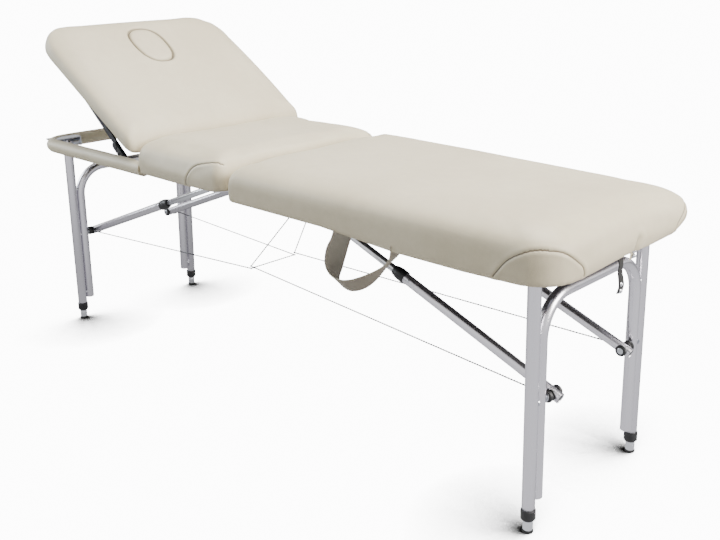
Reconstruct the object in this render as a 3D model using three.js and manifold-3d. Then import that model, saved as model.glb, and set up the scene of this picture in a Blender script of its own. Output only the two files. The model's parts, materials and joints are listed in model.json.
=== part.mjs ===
// Portable massage table: two padded halves that close like a case, folding legs, a lifting backrest.
// Millimetres, +Z up. X runs along the table (foot end +X), Y across it, and the floor is z = 0.
// Dimensions along X are measured from the fold, where the two halves meet. The whole table is moved by
// ORIGIN_SHIFT at the end, so that the origin is midway along it. "near" pieces are at -Y, "far" ones at +Y.

import * as THREE from 'three';
import { mergeVertices } from 'three/addons/utils/BufferGeometryUtils.js';
import Module from 'manifold-3d';

const wasm = await Module();
wasm.setup();

// ---- Driving dimensions -----------------------------------------------------------------------

const GAP = 0.4;                    // clearance left between neighbouring pieces
const HALF_WIDTH = 310;             // widest point of the cushions, from the centre line
const SKIRT_Z = 586;                // lower edge of the upholstery
const TOP_Z = 690;                  // upper surface of the cushions
const FOOT_END_X = 978;             // widest point of the cushion at the foot end
const SEAT_END_X = 385;             // head-side end of the seat cushion
const HALF_GAP = 1;                 // each half stops this far from the fold plane

const BOARD_Z = 630;                // underside of the plywood boards
const BOARD_T = 12;
const BOARD_HALF_WIDTH = 297;

const RAIL_R = 12.5;                // tubular frame inside both halves
const RAIL_Y = 284;
const RAIL_Z = 612;
const RAIL_FOLD_X = 27;             // cross tube next to the fold
const FOOT_RAIL_X = 937;            // cross tube at the foot end
const HEAD_RAIL_X = 922;            // bare, padded cross tube at the head end
const RAIL_CORNER_R = 70;
const PADDING_R = 21;               // padded sleeve round the open part of the head frame
const PADDING_START_X = 387;

const LEG_PIVOT_X = 884;            // pins the legs fold about
const LEG_PIVOT_Z = 612;
const LEG_SPREAD_X = 905;           // where the feet stand
const POST_Y = 228;
const POST_R = 14.5;
const POST_BORE_R = 11.6;
const POST_BORE_TOP_Z = -30;        // solid above this, below the leg pivot
const POST_END_H = 36;              // heights along a leg are measured from the floor
const U_R = 14;
const U_BORE_R = 12.2;
const U_Y = POST_Y - POST_R - U_R - 0.3;  // the U frame stands against the posts
const U_CROSSBAR_DROP = 92;         // crossbar below the leg pivot
const U_BEND_R = 88;
const U_END_H = 72;

const COLLAR_R = 16.5;
const COLLAR_BOTTOM_H = 30;
const COLLAR_TOP_H = 55;
const LEG_TUBE_R = 11;
const LEG_TUBE_BORE_R = 9;
const LEG_TUBE_TOP_H = 270;
const TIP_R = 12.3;
const TIP_TOP_H = 5;
const TIP_PLUG_H = 22;

const PIN_R = 5;                    // leg pivots and brace bolts
const HOLE_R = 5.4;
const PIVOT_PLAY = 0.3;             // running clearance of the small pivots
const BRACKET_T = 3;

const BRACE_Y = 153;
const BRACE_BOLT_H = 301.6;         // brace bolt, along the leg from the floor
const BRACE_BOLT_OUT = 5;           // and outboard of the leg's centre line
const BRACE_TOP_X = 100;            // brace pivot under the board
const BRACE_TOP_Z = 609;
const BRACE_TUBE_R = 12.75;
const BRACE_BORE_R = 10;
const BRACE_TUBE_LENGTH = 455;      // from the bolt
const BRACE_TAIL = 20;              // tube sticks out behind the bolt
const BRACE_ROD_R = 9.5;
const BRACE_OVERLAP = 46;           // rod inside the tube with the legs open
const BRACE_ROD_END = 9;            // rod past its pivot
const BRACE_BOSS_R = 7;
const BRACE_BOSS_H = 4;

const FOLD_PIN_X = 13;              // the halves are joined by short links with two pins each
const FOLD_PIN_Z = 574;
const FOLD_PIN_R = 3.5;
const KNUCKLE_R = 6.5;

const BACK_PIVOT_X = 394;           // backrest hinge, behind the seat
const BACK_PIVOT_Z = 632;
const BACK_REST_ANGLE = THREE.MathUtils.degToRad(31);
const BACK_NEAR_U = 34;             // backrest cushion, distances from the hinge
const BACK_FAR_U = 585;
const BACK_HALF_WIDTH = 330;        // a little wider than the seat
const BACK_LIFT = 15;               // underside of the panel above the hinge axis
const BACK_T = 53;
const BACK_BOARD_INSET = 26;

const PLUG_U = 420;                 // centre of the face-hole plug, from the hinge
const PLUG_Y = 6;
const PLUG_HALF_LENGTH = 83;
const PLUG_HALF_WIDTH = 58;
const PLUG_TAPER = 0.04;            // slightly narrower towards the hinge
const PLUG_SQUARENESS = 0.8;        // 1 is an ellipse, less is boxier

const STRUT_PIVOT_X = 505;          // backrest struts, pinned to the side rails
const STRUT_LUG_U = 465;            // and to the backrest
const STRUT_LUG_DROP = 14.6;        // below the hinge axis, measured square to the panel
const STRUT_SLEEVE_LENGTH = 61;
const STRUT_BAR_LENGTH = 384;
const STRUT_SLEEVE_HALF = 11;
const STRUT_BAR_HALF = 9;
const STRUT_PIN_R = 4;

const CABLE_R = 1;
const CABLE_NODE = [-161, 86, 322]; // where the hanger wires meet the long wires
const CABLE_HOOK = [66, 0, 621];    // screw eye under the board

const ORIGIN_SHIFT = (FOOT_END_X - HEAD_RAIL_X - PADDING_R) / 2;

const ROUND = 20;                   // sides of a round tube
const PIN_SIDES = 12;
const OVERRUN = 10;                 // how far a cutting shape runs past the piece it cuts
const BEND_STEPS = 5;               // straight pieces in a bent corner

// ---- Materials --------------------------------------------------------------------------------

const LOOKS = {
  vinyl: { color: 0xd2ccbe, roughness: 0.55, metalness: 0 },
  strap: { color: 0xa79f8f, roughness: 0.7, metalness: 0 },
  aluminium: { color: 0xc4c7cc, roughness: 0.32, metalness: 0.9 },
  steel: { color: 0xb4b7bb, roughness: 0.3, metalness: 1 },
  painted: { color: 0x1e1f22, roughness: 0.5, metalness: 0.2 },
  plastic: { color: 0x1b1b1d, roughness: 0.5, metalness: 0 },
  rubber: { color: 0x161617, roughness: 0.85, metalness: 0 },
  plywood: { color: 0xc6a67c, roughness: 0.8, metalness: 0 },
};

const table = new THREE.Group();
table.name = 'massage_table';

function piece(name, geometry, look, parent = table) {
  geometry.computeVertexNormals();
  const mesh = new THREE.Mesh(geometry, new THREE.MeshStandardMaterial(LOOKS[look]));
  mesh.name = name;
  parent.add(mesh);
  return mesh;
}

// ---- Solids: plain shapes, sweeps, pads and booleans -------------------------------------------

function toManifold(geometry) {
  const bare = geometry.clone();
  bare.deleteAttribute('normal');
  bare.deleteAttribute('uv');
  const merged = mergeVertices(bare, 1e-4);
  const solid = new wasm.Manifold(new wasm.Mesh({
    numProp: 3,
    vertProperties: new Float32Array(merged.attributes.position.array),
    triVerts: new Uint32Array(merged.index.array),
  }));
  return solid;
}

function toGeometry(solid) {
  const mesh = solid.getMesh();
  const geometry = new THREE.BufferGeometry();
  geometry.setAttribute('position', new THREE.BufferAttribute(new Float32Array(mesh.vertProperties), 3));
  geometry.setIndex(new THREE.BufferAttribute(new Uint32Array(mesh.triVerts), 1));
  return geometry;
}

function join(...geometries) {
  return toGeometry(geometries.map(toManifold).reduce((sum, next) => sum.add(next)));
}

function cut(geometry, ...tools) {
  return toGeometry(tools.map(toManifold).reduce((rest, tool) => rest.subtract(tool), toManifold(geometry)));
}

function common(a, b) {
  return toGeometry(toManifold(a).intersect(toManifold(b)));
}

// A closed body from points and triangles, turned inside out if it came out facing inward.
function closedBody(points, triangles) {
  const a = new THREE.Vector3();
  const b = new THREE.Vector3();
  const c = new THREE.Vector3();
  let volume = 0;
  for (const [i, j, k] of triangles) {
    a.fromArray(points[i]);
    b.fromArray(points[j]);
    c.fromArray(points[k]);
    volume += a.dot(b.cross(c));
  }
  const faces = volume > 0 ? triangles : triangles.map(([i, j, k]) => [i, k, j]);
  const geometry = new THREE.BufferGeometry();
  geometry.setAttribute('position', new THREE.Float32BufferAttribute(points.flat(), 3));
  geometry.setIndex(faces.flat());
  return geometry;
}

// Rings with the same number of points, skinned one to the next. An open run gets flat end caps.
function skin(rings, closed = false) {
  const count = rings[0].length;
  const points = rings.flat();
  const triangles = [];
  const spans = closed ? rings.length : rings.length - 1;
  for (let i = 0; i < spans; i += 1) {
    const from = i * count;
    const to = ((i + 1) % rings.length) * count;
    for (let j = 0; j < count; j += 1) {
      const k = (j + 1) % count;
      triangles.push([from + j, from + k, to + k], [from + j, to + k, to + j]);
    }
  }
  if (!closed) {
    const last = (rings.length - 1) * count;
    for (let j = 1; j < count - 1; j += 1) {
      triangles.push([0, j + 1, j], [last, last + j, last + j + 1]);
    }
  }
  return closedBody(points, triangles);
}

function block(x0, x1, y0, y1, z0, z1) {
  const geometry = new THREE.BoxGeometry(Math.abs(x1 - x0), Math.abs(y1 - y0), Math.abs(z1 - z0));
  return geometry.translate((x0 + x1) / 2, (y0 + y1) / 2, (z0 + z1) / 2);
}

// A round bar from one point to another.
function bar(from, to, radius, sides = ROUND) {
  const start = new THREE.Vector3(...from);
  const run = new THREE.Vector3(...to).sub(start);
  const geometry = new THREE.CylinderGeometry(radius, radius, run.length(), sides);
  geometry.translate(0, run.length() / 2, 0);
  const turn = new THREE.Quaternion().setFromUnitVectors(new THREE.Vector3(0, 1, 0), run.clone().normalize());
  return geometry.applyQuaternion(turn).translate(start.x, start.y, start.z);
}

function crossBar(x, z, y0, y1, radius, sides = ROUND) {
  return bar([x, y0, z], [x, y1, z], radius, sides);
}

// A drill through a tube whose centre line is at y, in the Y direction.
function holeAcross(x, z, y, tubeRadius, radius) {
  const reach = tubeRadius + 1;
  return crossBar(x, z, y - reach, y + reach, radius);
}

function circle(radius, sides = 16) {
  return Array.from({ length: sides }, (_, i) => {
    const angle = (i / sides) * 2 * Math.PI;
    return [radius * Math.cos(angle), radius * Math.sin(angle)];
  });
}

// Replaces each corner of a path by an arc. Corners with no radius stay sharp.
function roundedPath(corners, radii, closed = false) {
  const path = [];
  const count = corners.length;
  corners.forEach((corner, i) => {
    const radius = radii[i];
    const isEnd = !closed && (i === 0 || i === count - 1);
    const here = new THREE.Vector3(...corner);
    if (isEnd || !radius) {
      path.push(here);
      return;
    }
    const back = new THREE.Vector3(...corners[(i + count - 1) % count]).sub(here).normalize();
    const ahead = new THREE.Vector3(...corners[(i + 1) % count]).sub(here).normalize();
    const half = back.angleTo(ahead) / 2;
    const centre = back.clone().add(ahead).normalize().multiplyScalar(radius / Math.sin(half)).add(here);
    const first = back.multiplyScalar(radius / Math.tan(half)).add(here).sub(centre);
    const last = ahead.multiplyScalar(radius / Math.tan(half)).add(here).sub(centre);
    const sweepAngle = first.angleTo(last);
    for (let step = 0; step <= BEND_STEPS; step += 1) {
      const t = step / BEND_STEPS;
      const a = Math.sin((1 - t) * sweepAngle) / Math.sin(sweepAngle);
      const b = Math.sin(t * sweepAngle) / Math.sin(sweepAngle);
      path.push(first.clone().multiplyScalar(a).addScaledVector(last, b).add(centre));
    }
  });
  return path;
}

// Sweeps a section along a path that lies in one plane. Section points are [to the side, along the normal].
function sweep(path, normal, section, closed = false) {
  const up = new THREE.Vector3(...normal);
  const rings = path.map((point, i) => {
    const before = path[closed ? (i + path.length - 1) % path.length : Math.max(i - 1, 0)];
    const after = path[closed ? (i + 1) % path.length : Math.min(i + 1, path.length - 1)];
    const side = up.clone().cross(after.clone().sub(before)).normalize();
    return section.map(([s, n]) => point.clone().addScaledVector(side, s).addScaledVector(up, n).toArray());
  });
  return skin(rings, closed);
}

// Plan outline of a rectangle with its own corner radius at each end, shrunk by an inset.
function planOutline({ x0, x1, halfWidth, r0, r1 }, inset = 0, steps = 7) {
  const outline = [];
  const corners = [
    [x1, 1, r1, 0],
    [x0, 1, r0, 1],
    [x0, -1, r0, 2],
    [x1, -1, r1, 3],
  ];
  for (const [x, side, radius, quarter] of corners) {
    const r = Math.max(radius - inset, 3);
    const inward = x === x1 ? -1 : 1;
    const cx = x + inward * (inset + r);
    const cy = side * (halfWidth - inset - r);
    for (let i = 0; i <= steps; i += 1) {
      const angle = (quarter + i / steps) * (Math.PI / 2);
      outline.push([cx + r * Math.cos(angle), cy + r * Math.sin(angle)]);
    }
  }
  return outline;
}

// A padded block: outlines stacked at the [inset, height] steps of a profile.
function pad(plan, profile) {
  return skin(profile.map(([inset, z]) => planOutline(plan, inset).map(([x, y]) => [x, y, z])));
}

function prism(outline, z0, z1) {
  return skin([z0, z1].map((z) => outline.map(([x, y]) => [x, y, z])));
}

// A flat plate standing across Y, from a closed outline of [x, z] points.
function uprightPlate(outline, y0, y1) {
  const shape = new THREE.Shape(outline.map(([x, z]) => new THREE.Vector2(x, z)));
  const geometry = new THREE.ExtrudeGeometry(shape, { depth: Math.abs(y1 - y0), bevelEnabled: false });
  return geometry.rotateX(Math.PI / 2).translate(0, Math.max(y0, y1), 0);
}

// Outline of a bar with round ends between two points.
function capsule(from, to, half, steps = 7) {
  const along = Math.atan2(to[1] - from[1], to[0] - from[0]);
  const arc = (centre, start) => Array.from({ length: steps + 1 }, (_, i) => {
    const angle = start + (i / steps) * Math.PI;
    return [centre[0] + half * Math.cos(angle), centre[1] + half * Math.sin(angle)];
  });
  return [...arc(to, along - Math.PI / 2), ...arc(from, along + Math.PI / 2)];
}

// ---- Places that several pieces share -----------------------------------------------------------

const SIDES = [['near', -1], ['far', 1]];
const LEG_RAKE = Math.atan2(LEG_SPREAD_X - LEG_PIVOT_X, LEG_PIVOT_Z);
const LEG_LENGTH = Math.hypot(LEG_SPREAD_X - LEG_PIVOT_X, LEG_PIVOT_Z);
const legHeight = (height) => height - LEG_LENGTH;     // in a leg's own frame, pivot at 0

// The brace bolt in the table's frame, for the half on that side of the fold.
const BOLT_DROP = LEG_LENGTH - BRACE_BOLT_H;
const BOLT_X = LEG_PIVOT_X + BOLT_DROP * Math.sin(LEG_RAKE) + BRACE_BOLT_OUT * Math.cos(LEG_RAKE);
const BOLT_Z = LEG_PIVOT_Z - BOLT_DROP * Math.cos(LEG_RAKE) + BRACE_BOLT_OUT * Math.sin(LEG_RAKE);
const BRACE_LENGTH = Math.hypot(BOLT_X - BRACE_TOP_X, BRACE_TOP_Z - BOLT_Z);
const BRACE_SLOPE = Math.atan2(BRACE_TOP_Z - BOLT_Z, BOLT_X - BRACE_TOP_X);

// ---- Upholstered halves -------------------------------------------------------------------------

const FOOT_PLAN = { x0: HALF_GAP, x1: FOOT_END_X, halfWidth: HALF_WIDTH, r0: 38, r1: 88 };
const SEAT_PLAN = { x0: -SEAT_END_X, x1: -HALF_GAP, halfWidth: HALF_WIDTH, r0: 50, r1: 42 };

const CUSHION_PROFILE = [
  [7, SKIRT_Z],
  [2, SKIRT_Z + 13],
  [0, SKIRT_Z + 33],
  [0, SKIRT_Z + 50],
  [3, TOP_Z - 38],
  [10, TOP_Z - 24],
  [22, TOP_Z - 13],
  [40, TOP_Z - 6],
  [70, TOP_Z - 2],
  [110, TOP_Z],
];

const FOOT_BOARD_PLAN = { x0: 14, x1: 950, halfWidth: BOARD_HALF_WIDTH, r0: 20, r1: 74 };
const SEAT_BOARD_PLAN = { x0: -372, x1: -14, halfWidth: BOARD_HALF_WIDTH, r0: 4, r1: 20 };

const grown = (plan, by) => ({
  x0: plan.x0 - by,
  x1: plan.x1 + by,
  halfWidth: plan.halfWidth + by,
  r0: plan.r0 + by,
  r1: plan.r1 + by,
});

function boardAndCushion(name, plan, boardPlan, extraCuts = []) {
  const recess = prism(planOutline(grown(boardPlan, GAP)), SKIRT_Z - OVERRUN, BOARD_Z + BOARD_T + GAP);
  piece(`${name}_cushion`, cut(pad(plan, CUSHION_PROFILE), recess, ...extraCuts), 'vinyl');
  piece(`${name}_board`, prism(planOutline(boardPlan), BOARD_Z, BOARD_Z + BOARD_T), 'plywood');
}

boardAndCushion('foot', FOOT_PLAN, FOOT_BOARD_PLAN);

// The head legs fold in past the end of the seat, so its skirt is open between the two side rails.
const LEG_CHANNEL_HALF = 270;
const channelX = [-SEAT_END_X - OVERRUN, SEAT_BOARD_PLAN.x0 + OVERRUN / 2];
const channel = block(...channelX, -LEG_CHANNEL_HALF, LEG_CHANNEL_HALF, SKIRT_Z - OVERRUN, BOARD_Z - GAP);
const railHoles = SIDES.map(([, y]) => bar(
  [channelX[0], y * RAIL_Y, RAIL_Z],
  [channelX[1], y * RAIL_Y, RAIL_Z],
  RAIL_R + GAP,
));
boardAndCushion('seat', SEAT_PLAN, SEAT_BOARD_PLAN, [channel, ...railHoles]);

// ---- Tubular frames -----------------------------------------------------------------------------

const BOARD_PAD_HALF = 9;           // small blocks on the tube that carry the board

function frameLoop(x0, x1, r0, r1) {
  const corners = [
    [x1, -RAIL_Y, RAIL_Z],
    [x1, RAIL_Y, RAIL_Z],
    [x0, RAIL_Y, RAIL_Z],
    [x0, -RAIL_Y, RAIL_Z],
  ];
  return sweep(roundedPath(corners, [r1, r1, r0, r0], true), [0, 0, 1], circle(RAIL_R), true);
}

function boardPads(positions) {
  return positions.flatMap((x) => SIDES.map(([, y]) => block(
    x - BOARD_PAD_HALF,
    x + BOARD_PAD_HALF,
    y * (RAIL_Y - BOARD_PAD_HALF),
    y * (RAIL_Y + BOARD_PAD_HALF / 2),
    RAIL_Z + RAIL_R / 2,
    BOARD_Z - GAP,
  )));
}

const FOLD_CORNER_R = 34;
const FOOT_PADS_X = [90, 330, 570, 800];
const SEAT_PADS_X = [-90, -300];
const footLoop = frameLoop(RAIL_FOLD_X, FOOT_RAIL_X, FOLD_CORNER_R, RAIL_CORNER_R);
piece('foot_frame', join(footLoop, ...boardPads(FOOT_PADS_X)), 'aluminium');

// The head frame also carries the backrest hinge ears and the strut pins.
const EAR_HALF = 6.5;
const EAR_Y = [260, 285];           // inner face of an ear, and the rail it is welded to
const HINGE_PIN_Y = 252;
const PIN_ROOT = 5;                 // how far a pin is let into its ear
const STRUT_SLEEVE_Y = [255, 261];
const STRUT_BAR_Y = [247, 253];

const ears = SIDES.flatMap(([, y]) => [
  block(
    -BACK_PIVOT_X - EAR_HALF,
    -BACK_PIVOT_X + EAR_HALF,
    y * EAR_Y[0],
    y * EAR_Y[1],
    RAIL_Z,
    BACK_PIVOT_Z + EAR_HALF,
  ),
  crossBar(-BACK_PIVOT_X, BACK_PIVOT_Z, y * HINGE_PIN_Y, y * (EAR_Y[0] + PIN_ROOT), STRUT_PIN_R, PIN_SIDES),
  crossBar(-STRUT_PIVOT_X, RAIL_Z, y * (STRUT_SLEEVE_Y[0] - 0.5), y * RAIL_Y, STRUT_PIN_R, PIN_SIDES),
]);
const headLoop = frameLoop(-HEAD_RAIL_X, -RAIL_FOLD_X, RAIL_CORNER_R, FOLD_CORNER_R);
piece('head_frame', join(headLoop, ...boardPads(SEAT_PADS_X), ...ears), 'aluminium');

// ---- Leg brackets -------------------------------------------------------------------------------

const BRACKET = {
  xIn: LEG_PIVOT_X - 13,            // plate over the post, from the rail inward
  xOut: LEG_PIVOT_X + 30,
  yIn: 186,
  yOut: 284,
  zTop: BOARD_Z - GAP,
  zPlate: LEG_PIVOT_Z + POST_R + GAP,
  zFlange: 599,
  outerFlangeY: POST_Y + POST_R + 2,
  flangeEnd: LEG_PIVOT_X + 14,
  hangerT: 7,                       // the part that reaches down to the rail
  bushR: PIN_R + 4,                 // thicker part of the pin beside the post
};

function legBracket(end, y) {
  const b = BRACKET;
  const x0 = end * b.xIn;
  const x1 = end * b.xOut;
  const flangeX = end * b.flangeEnd;
  return join(
    block(x0, x1, y * b.yIn, y * b.yOut, b.zPlate, b.zTop),
    block(x0, flangeX, y * b.yIn, y * (b.yIn + BRACKET_T), b.zFlange, b.zTop),
    block(x0, flangeX, y * b.outerFlangeY, y * (b.outerFlangeY + BRACKET_T), b.zFlange, b.zTop),
    block(x0, x1, y * (b.yOut - b.hangerT), y * b.yOut, RAIL_Z + RAIL_R + GAP, b.zTop),
    crossBar(end * LEG_PIVOT_X, LEG_PIVOT_Z, y * b.yIn, y * (b.outerFlangeY + BRACKET_T), PIN_R),
    crossBar(end * LEG_PIVOT_X, LEG_PIVOT_Z, y * (b.yIn + 1), y * (POST_Y - POST_R - 1.2), b.bushR),
  );
}

// ---- Fold brackets and links --------------------------------------------------------------------

const CHEEK_IN = 16.5;              // half the clear width, enough for a brace to lie between
const CHEEK_OUT = CHEEK_IN + BRACKET_T;
const FOLD_BRACKET_X = [42, 112];
const FOLD_BRACKET_EDGE_Z = 597;    // lower edge of the cheeks away from the knuckle
const FOLD_BRACKET_NECK = [62, FOLD_PIN_Z];
const FOLD_BRACKET_TOP_T = 2.8;
const KNUCKLE_STEPS = 8;
const KNUCKLE_ARC = [0.55 * Math.PI, 1.5 * Math.PI];

function foldBracket(end, y) {
  const lug = (angle) => [
    end * (FOLD_PIN_X + KNUCKLE_R * Math.cos(angle)),
    FOLD_PIN_Z + KNUCKLE_R * Math.sin(angle),
  ];
  const knuckle = Array.from({ length: KNUCKLE_STEPS + 1 }, (_, i) => (
    lug(THREE.MathUtils.lerp(...KNUCKLE_ARC, i / KNUCKLE_STEPS))
  ));
  const outline = [
    [end * FOLD_BRACKET_X[0], BRACKET.zTop],
    [end * FOLD_BRACKET_X[0], FOLD_BRACKET_EDGE_Z],
    ...knuckle,
    [end * FOLD_BRACKET_NECK[0], FOLD_BRACKET_NECK[1]],
    [end * FOLD_BRACKET_X[1], FOLD_BRACKET_EDGE_Z],
    [end * FOLD_BRACKET_X[1], BRACKET.zTop],
  ];
  const cheeks = [-1, 1].flatMap((side) => {
    const inner = y * BRACE_Y + side * CHEEK_IN;
    const outer = y * BRACE_Y + side * CHEEK_OUT;
    const plate = uprightPlate(outline, inner, outer);
    const holeR = FOLD_PIN_R + PIVOT_PLAY;
    const hole = crossBar(end * FOLD_PIN_X, FOLD_PIN_Z, inner - side, outer + side, holeR, PIN_SIDES);
    const bossEnd = outer + side * BRACE_BOSS_H;
    const boss = crossBar(end * BRACE_TOP_X, BRACE_TOP_Z, outer - side, bossEnd, BRACE_BOSS_R, PIN_SIDES);
    return [cut(plate, hole), boss];
  });
  const top = block(
    end * FOLD_BRACKET_X[0],
    end * FOLD_BRACKET_X[1],
    y * BRACE_Y - CHEEK_OUT,
    y * BRACE_Y + CHEEK_OUT,
    BRACKET.zTop - FOLD_BRACKET_TOP_T,
    BRACKET.zTop,
  );
  return join(top, ...cheeks);
}

const FOLD_LINK_HALF = 10;

function foldLink(y) {
  const outline = capsule([-FOLD_PIN_X, FOLD_PIN_Z], [FOLD_PIN_X, FOLD_PIN_Z], KNUCKLE_R);
  const pins = [-1, 1].map((end) => crossBar(
    end * FOLD_PIN_X,
    FOLD_PIN_Z,
    y * BRACE_Y - CHEEK_OUT,
    y * BRACE_Y + CHEEK_OUT,
    FOLD_PIN_R,
    PIN_SIDES,
  ));
  const plate = uprightPlate(outline, y * BRACE_Y - FOLD_LINK_HALF, y * BRACE_Y + FOLD_LINK_HALF);
  return join(plate, ...pins);
}

for (const [side, y] of SIDES) {
  for (const [prefix, end] of [['foot', 1], ['head', -1]]) {
    piece(`${prefix}_leg_bracket_${side}`, legBracket(end, y), 'steel');
    piece(`${prefix}_fold_bracket_${side}`, foldBracket(end, y), 'steel');
  }
  piece(`fold_link_${side}`, foldLink(y), 'steel');
}

// ---- Padding on the open part of the head frame ---------------------------------------------------

const paddingPath = roundedPath(
  [
    [-PADDING_START_X, -RAIL_Y, RAIL_Z],
    [-HEAD_RAIL_X, -RAIL_Y, RAIL_Z],
    [-HEAD_RAIL_X, RAIL_Y, RAIL_Z],
    [-PADDING_START_X, RAIL_Y, RAIL_Z],
  ],
  [0, RAIL_CORNER_R, RAIL_CORNER_R, 0],
);
const NOTCH_TOP_Z = RAIL_Z + 40;
const EAR_NOTCH = 20;               // room for the hinge eye in front of the ear
const borePath = paddingPath.map((point) => point.clone());
borePath[0].x += OVERRUN;
borePath[borePath.length - 1].x += OVERRUN;
const notches = SIDES.flatMap(([, y]) => [
  block(
    -BACK_PIVOT_X - EAR_HALF - GAP,
    -BACK_PIVOT_X + EAR_NOTCH,
    y * (EAR_Y[0] - 1),
    y * (EAR_Y[1] + GAP),
    RAIL_Z - GAP,
    NOTCH_TOP_Z,
  ),
  crossBar(-STRUT_PIVOT_X, RAIL_Z, y * (EAR_Y[0] - 1), y * RAIL_Y, STRUT_PIN_R + GAP, PIN_SIDES),
  block(
    -BRACKET.xIn + GAP,
    -BRACKET.xOut - GAP,
    y * (BRACKET.yIn - GAP),
    y * (BRACKET.yOut + GAP),
    BRACKET.zFlange - GAP,
    NOTCH_TOP_Z,
  ),
]);
piece('rail_padding', cut(
  sweep(paddingPath, [0, 0, 1], circle(PADDING_R)),
  sweep(borePath, [0, 0, 1], circle(RAIL_R + GAP)),
  ...notches,
), 'vinyl');

// ---- Backrest: its own frame starts at the hinge, and -X runs up the panel --------------------------

const backrest = new THREE.Group();
backrest.name = 'backrest';
backrest.position.set(-BACK_PIVOT_X, 0, BACK_PIVOT_Z);
backrest.rotation.y = BACK_REST_ANGLE;
table.add(backrest);

const BACK_PLAN = { x0: -BACK_FAR_U, x1: -BACK_NEAR_U, halfWidth: BACK_HALF_WIDTH, r0: 115, r1: 46 };
const BACK_PROFILE = [
  [12, 0],
  [4, 6],
  [0, 16],
  [0, 28],
  [4, 38],
  [14, 46],
  [30, 50.5],
  [62, 52.5],
  [100, BACK_T],
].map(([inset, z]) => [inset, BACK_LIFT + z]);
const BACK_BOARD_Z = [BACK_LIFT + GAP, BACK_LIFT + GAP + BOARD_T];
const backBoardPlan = grown(BACK_PLAN, -BACK_BOARD_INSET);

function plugOutline(growth, steps = 32) {
  return Array.from({ length: steps }, (_, i) => {
    const angle = (i / steps) * 2 * Math.PI;
    const along = Math.sign(Math.cos(angle)) * Math.abs(Math.cos(angle)) ** PLUG_SQUARENESS;
    const across = Math.sign(Math.sin(angle)) * Math.abs(Math.sin(angle)) ** PLUG_SQUARENESS;
    const taper = 1 + PLUG_TAPER * along;
    return [
      -PLUG_U - (PLUG_HALF_LENGTH + growth) * along,
      PLUG_Y - (PLUG_HALF_WIDTH + growth) * taper * across,
    ];
  });
}

const faceHole = prism(plugOutline(GAP), BACK_LIFT - OVERRUN, BACK_LIFT + BACK_T + OVERRUN);
piece('backrest_cushion', cut(
  pad(BACK_PLAN, BACK_PROFILE),
  prism(planOutline(grown(backBoardPlan, GAP)), BACK_LIFT - OVERRUN, BACK_BOARD_Z[1] + GAP),
  faceHole,
), 'vinyl', backrest);
const backBoard = prism(planOutline(backBoardPlan), ...BACK_BOARD_Z);
piece('backrest_board', cut(backBoard, faceHole), 'plywood', backrest);

const PLUG_PROFILE = [[6, 1.5], [0, 7], [0, BACK_T - 9], [3, BACK_T - 3], [9, BACK_T + 0.5], [24, BACK_T + 2]]
  .map(([inset, z]) => [inset, BACK_LIFT + z]);
piece('face_plug', skin(PLUG_PROFILE.map(
  ([inset, z]) => plugOutline(-inset).map(([x, y]) => [x, y, z]),
)), 'vinyl', backrest);

// Steel side rails under the backrest board, each with a hinge eye and a strut lug.
const SIDE_RAIL_Y = [254, 258];
const SIDE_RAIL_FLANGE_Y = 268;     // the part screwed to the board is wider
const SIDE_RAIL_OVERHANG = 16;      // rail past the strut lug
const SIDE_RAIL_START_U = BACK_NEAR_U + 6;
const HINGE_EYE = { startU: 44, half: 7 };
const STRUT_LUG_HALF = 8;

function sideRail(y) {
  const faces = SIDE_RAIL_Y.map((face) => y * face);
  const plate = (from, to, half) => uprightPlate(capsule(from, to, half), ...faces);
  const stripZ = BACK_LIFT - BRACKET_T;
  const railX = [-STRUT_LUG_U - SIDE_RAIL_OVERHANG, -SIDE_RAIL_START_U];
  const strip = block(...railX, y * SIDE_RAIL_Y[0], y * SIDE_RAIL_FLANGE_Y, stripZ, BACK_LIFT);
  const above = block(-BACK_FAR_U, 0, -BACK_HALF_WIDTH, BACK_HALF_WIDTH, BACK_LIFT, BACK_LIFT + BACK_T);
  return cut(
    join(
      strip,
      plate([-HINGE_EYE.startU, stripZ], [0, 0], HINGE_EYE.half),
      plate([-STRUT_LUG_U, stripZ], [-STRUT_LUG_U, -STRUT_LUG_DROP], STRUT_LUG_HALF),
      crossBar(-STRUT_LUG_U, -STRUT_LUG_DROP, y * STRUT_BAR_Y[0], y * SIDE_RAIL_Y[1], STRUT_PIN_R, PIN_SIDES),
    ),
    crossBar(0, 0, y * (SIDE_RAIL_Y[0] - 1), y * (SIDE_RAIL_Y[1] + 1), STRUT_PIN_R + PIVOT_PLAY, PIN_SIDES),
    above,
  );
}

// Each strut is a sleeve pinned to the frame rail and a notched bar pinned to the backrest.
const lug = new THREE.Vector2(-STRUT_LUG_U, -STRUT_LUG_DROP)
  .rotateAround(new THREE.Vector2(), -BACK_REST_ANGLE)
  .add(new THREE.Vector2(-BACK_PIVOT_X, BACK_PIVOT_Z));
const [lugX, lugZ] = lug.toArray();
const strutRun = new THREE.Vector2(lugX + STRUT_PIVOT_X, lugZ - RAIL_Z).normalize();
const alongStrut = (fromX, fromZ, distance) => [fromX + strutRun.x * distance, fromZ + strutRun.y * distance];

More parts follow.
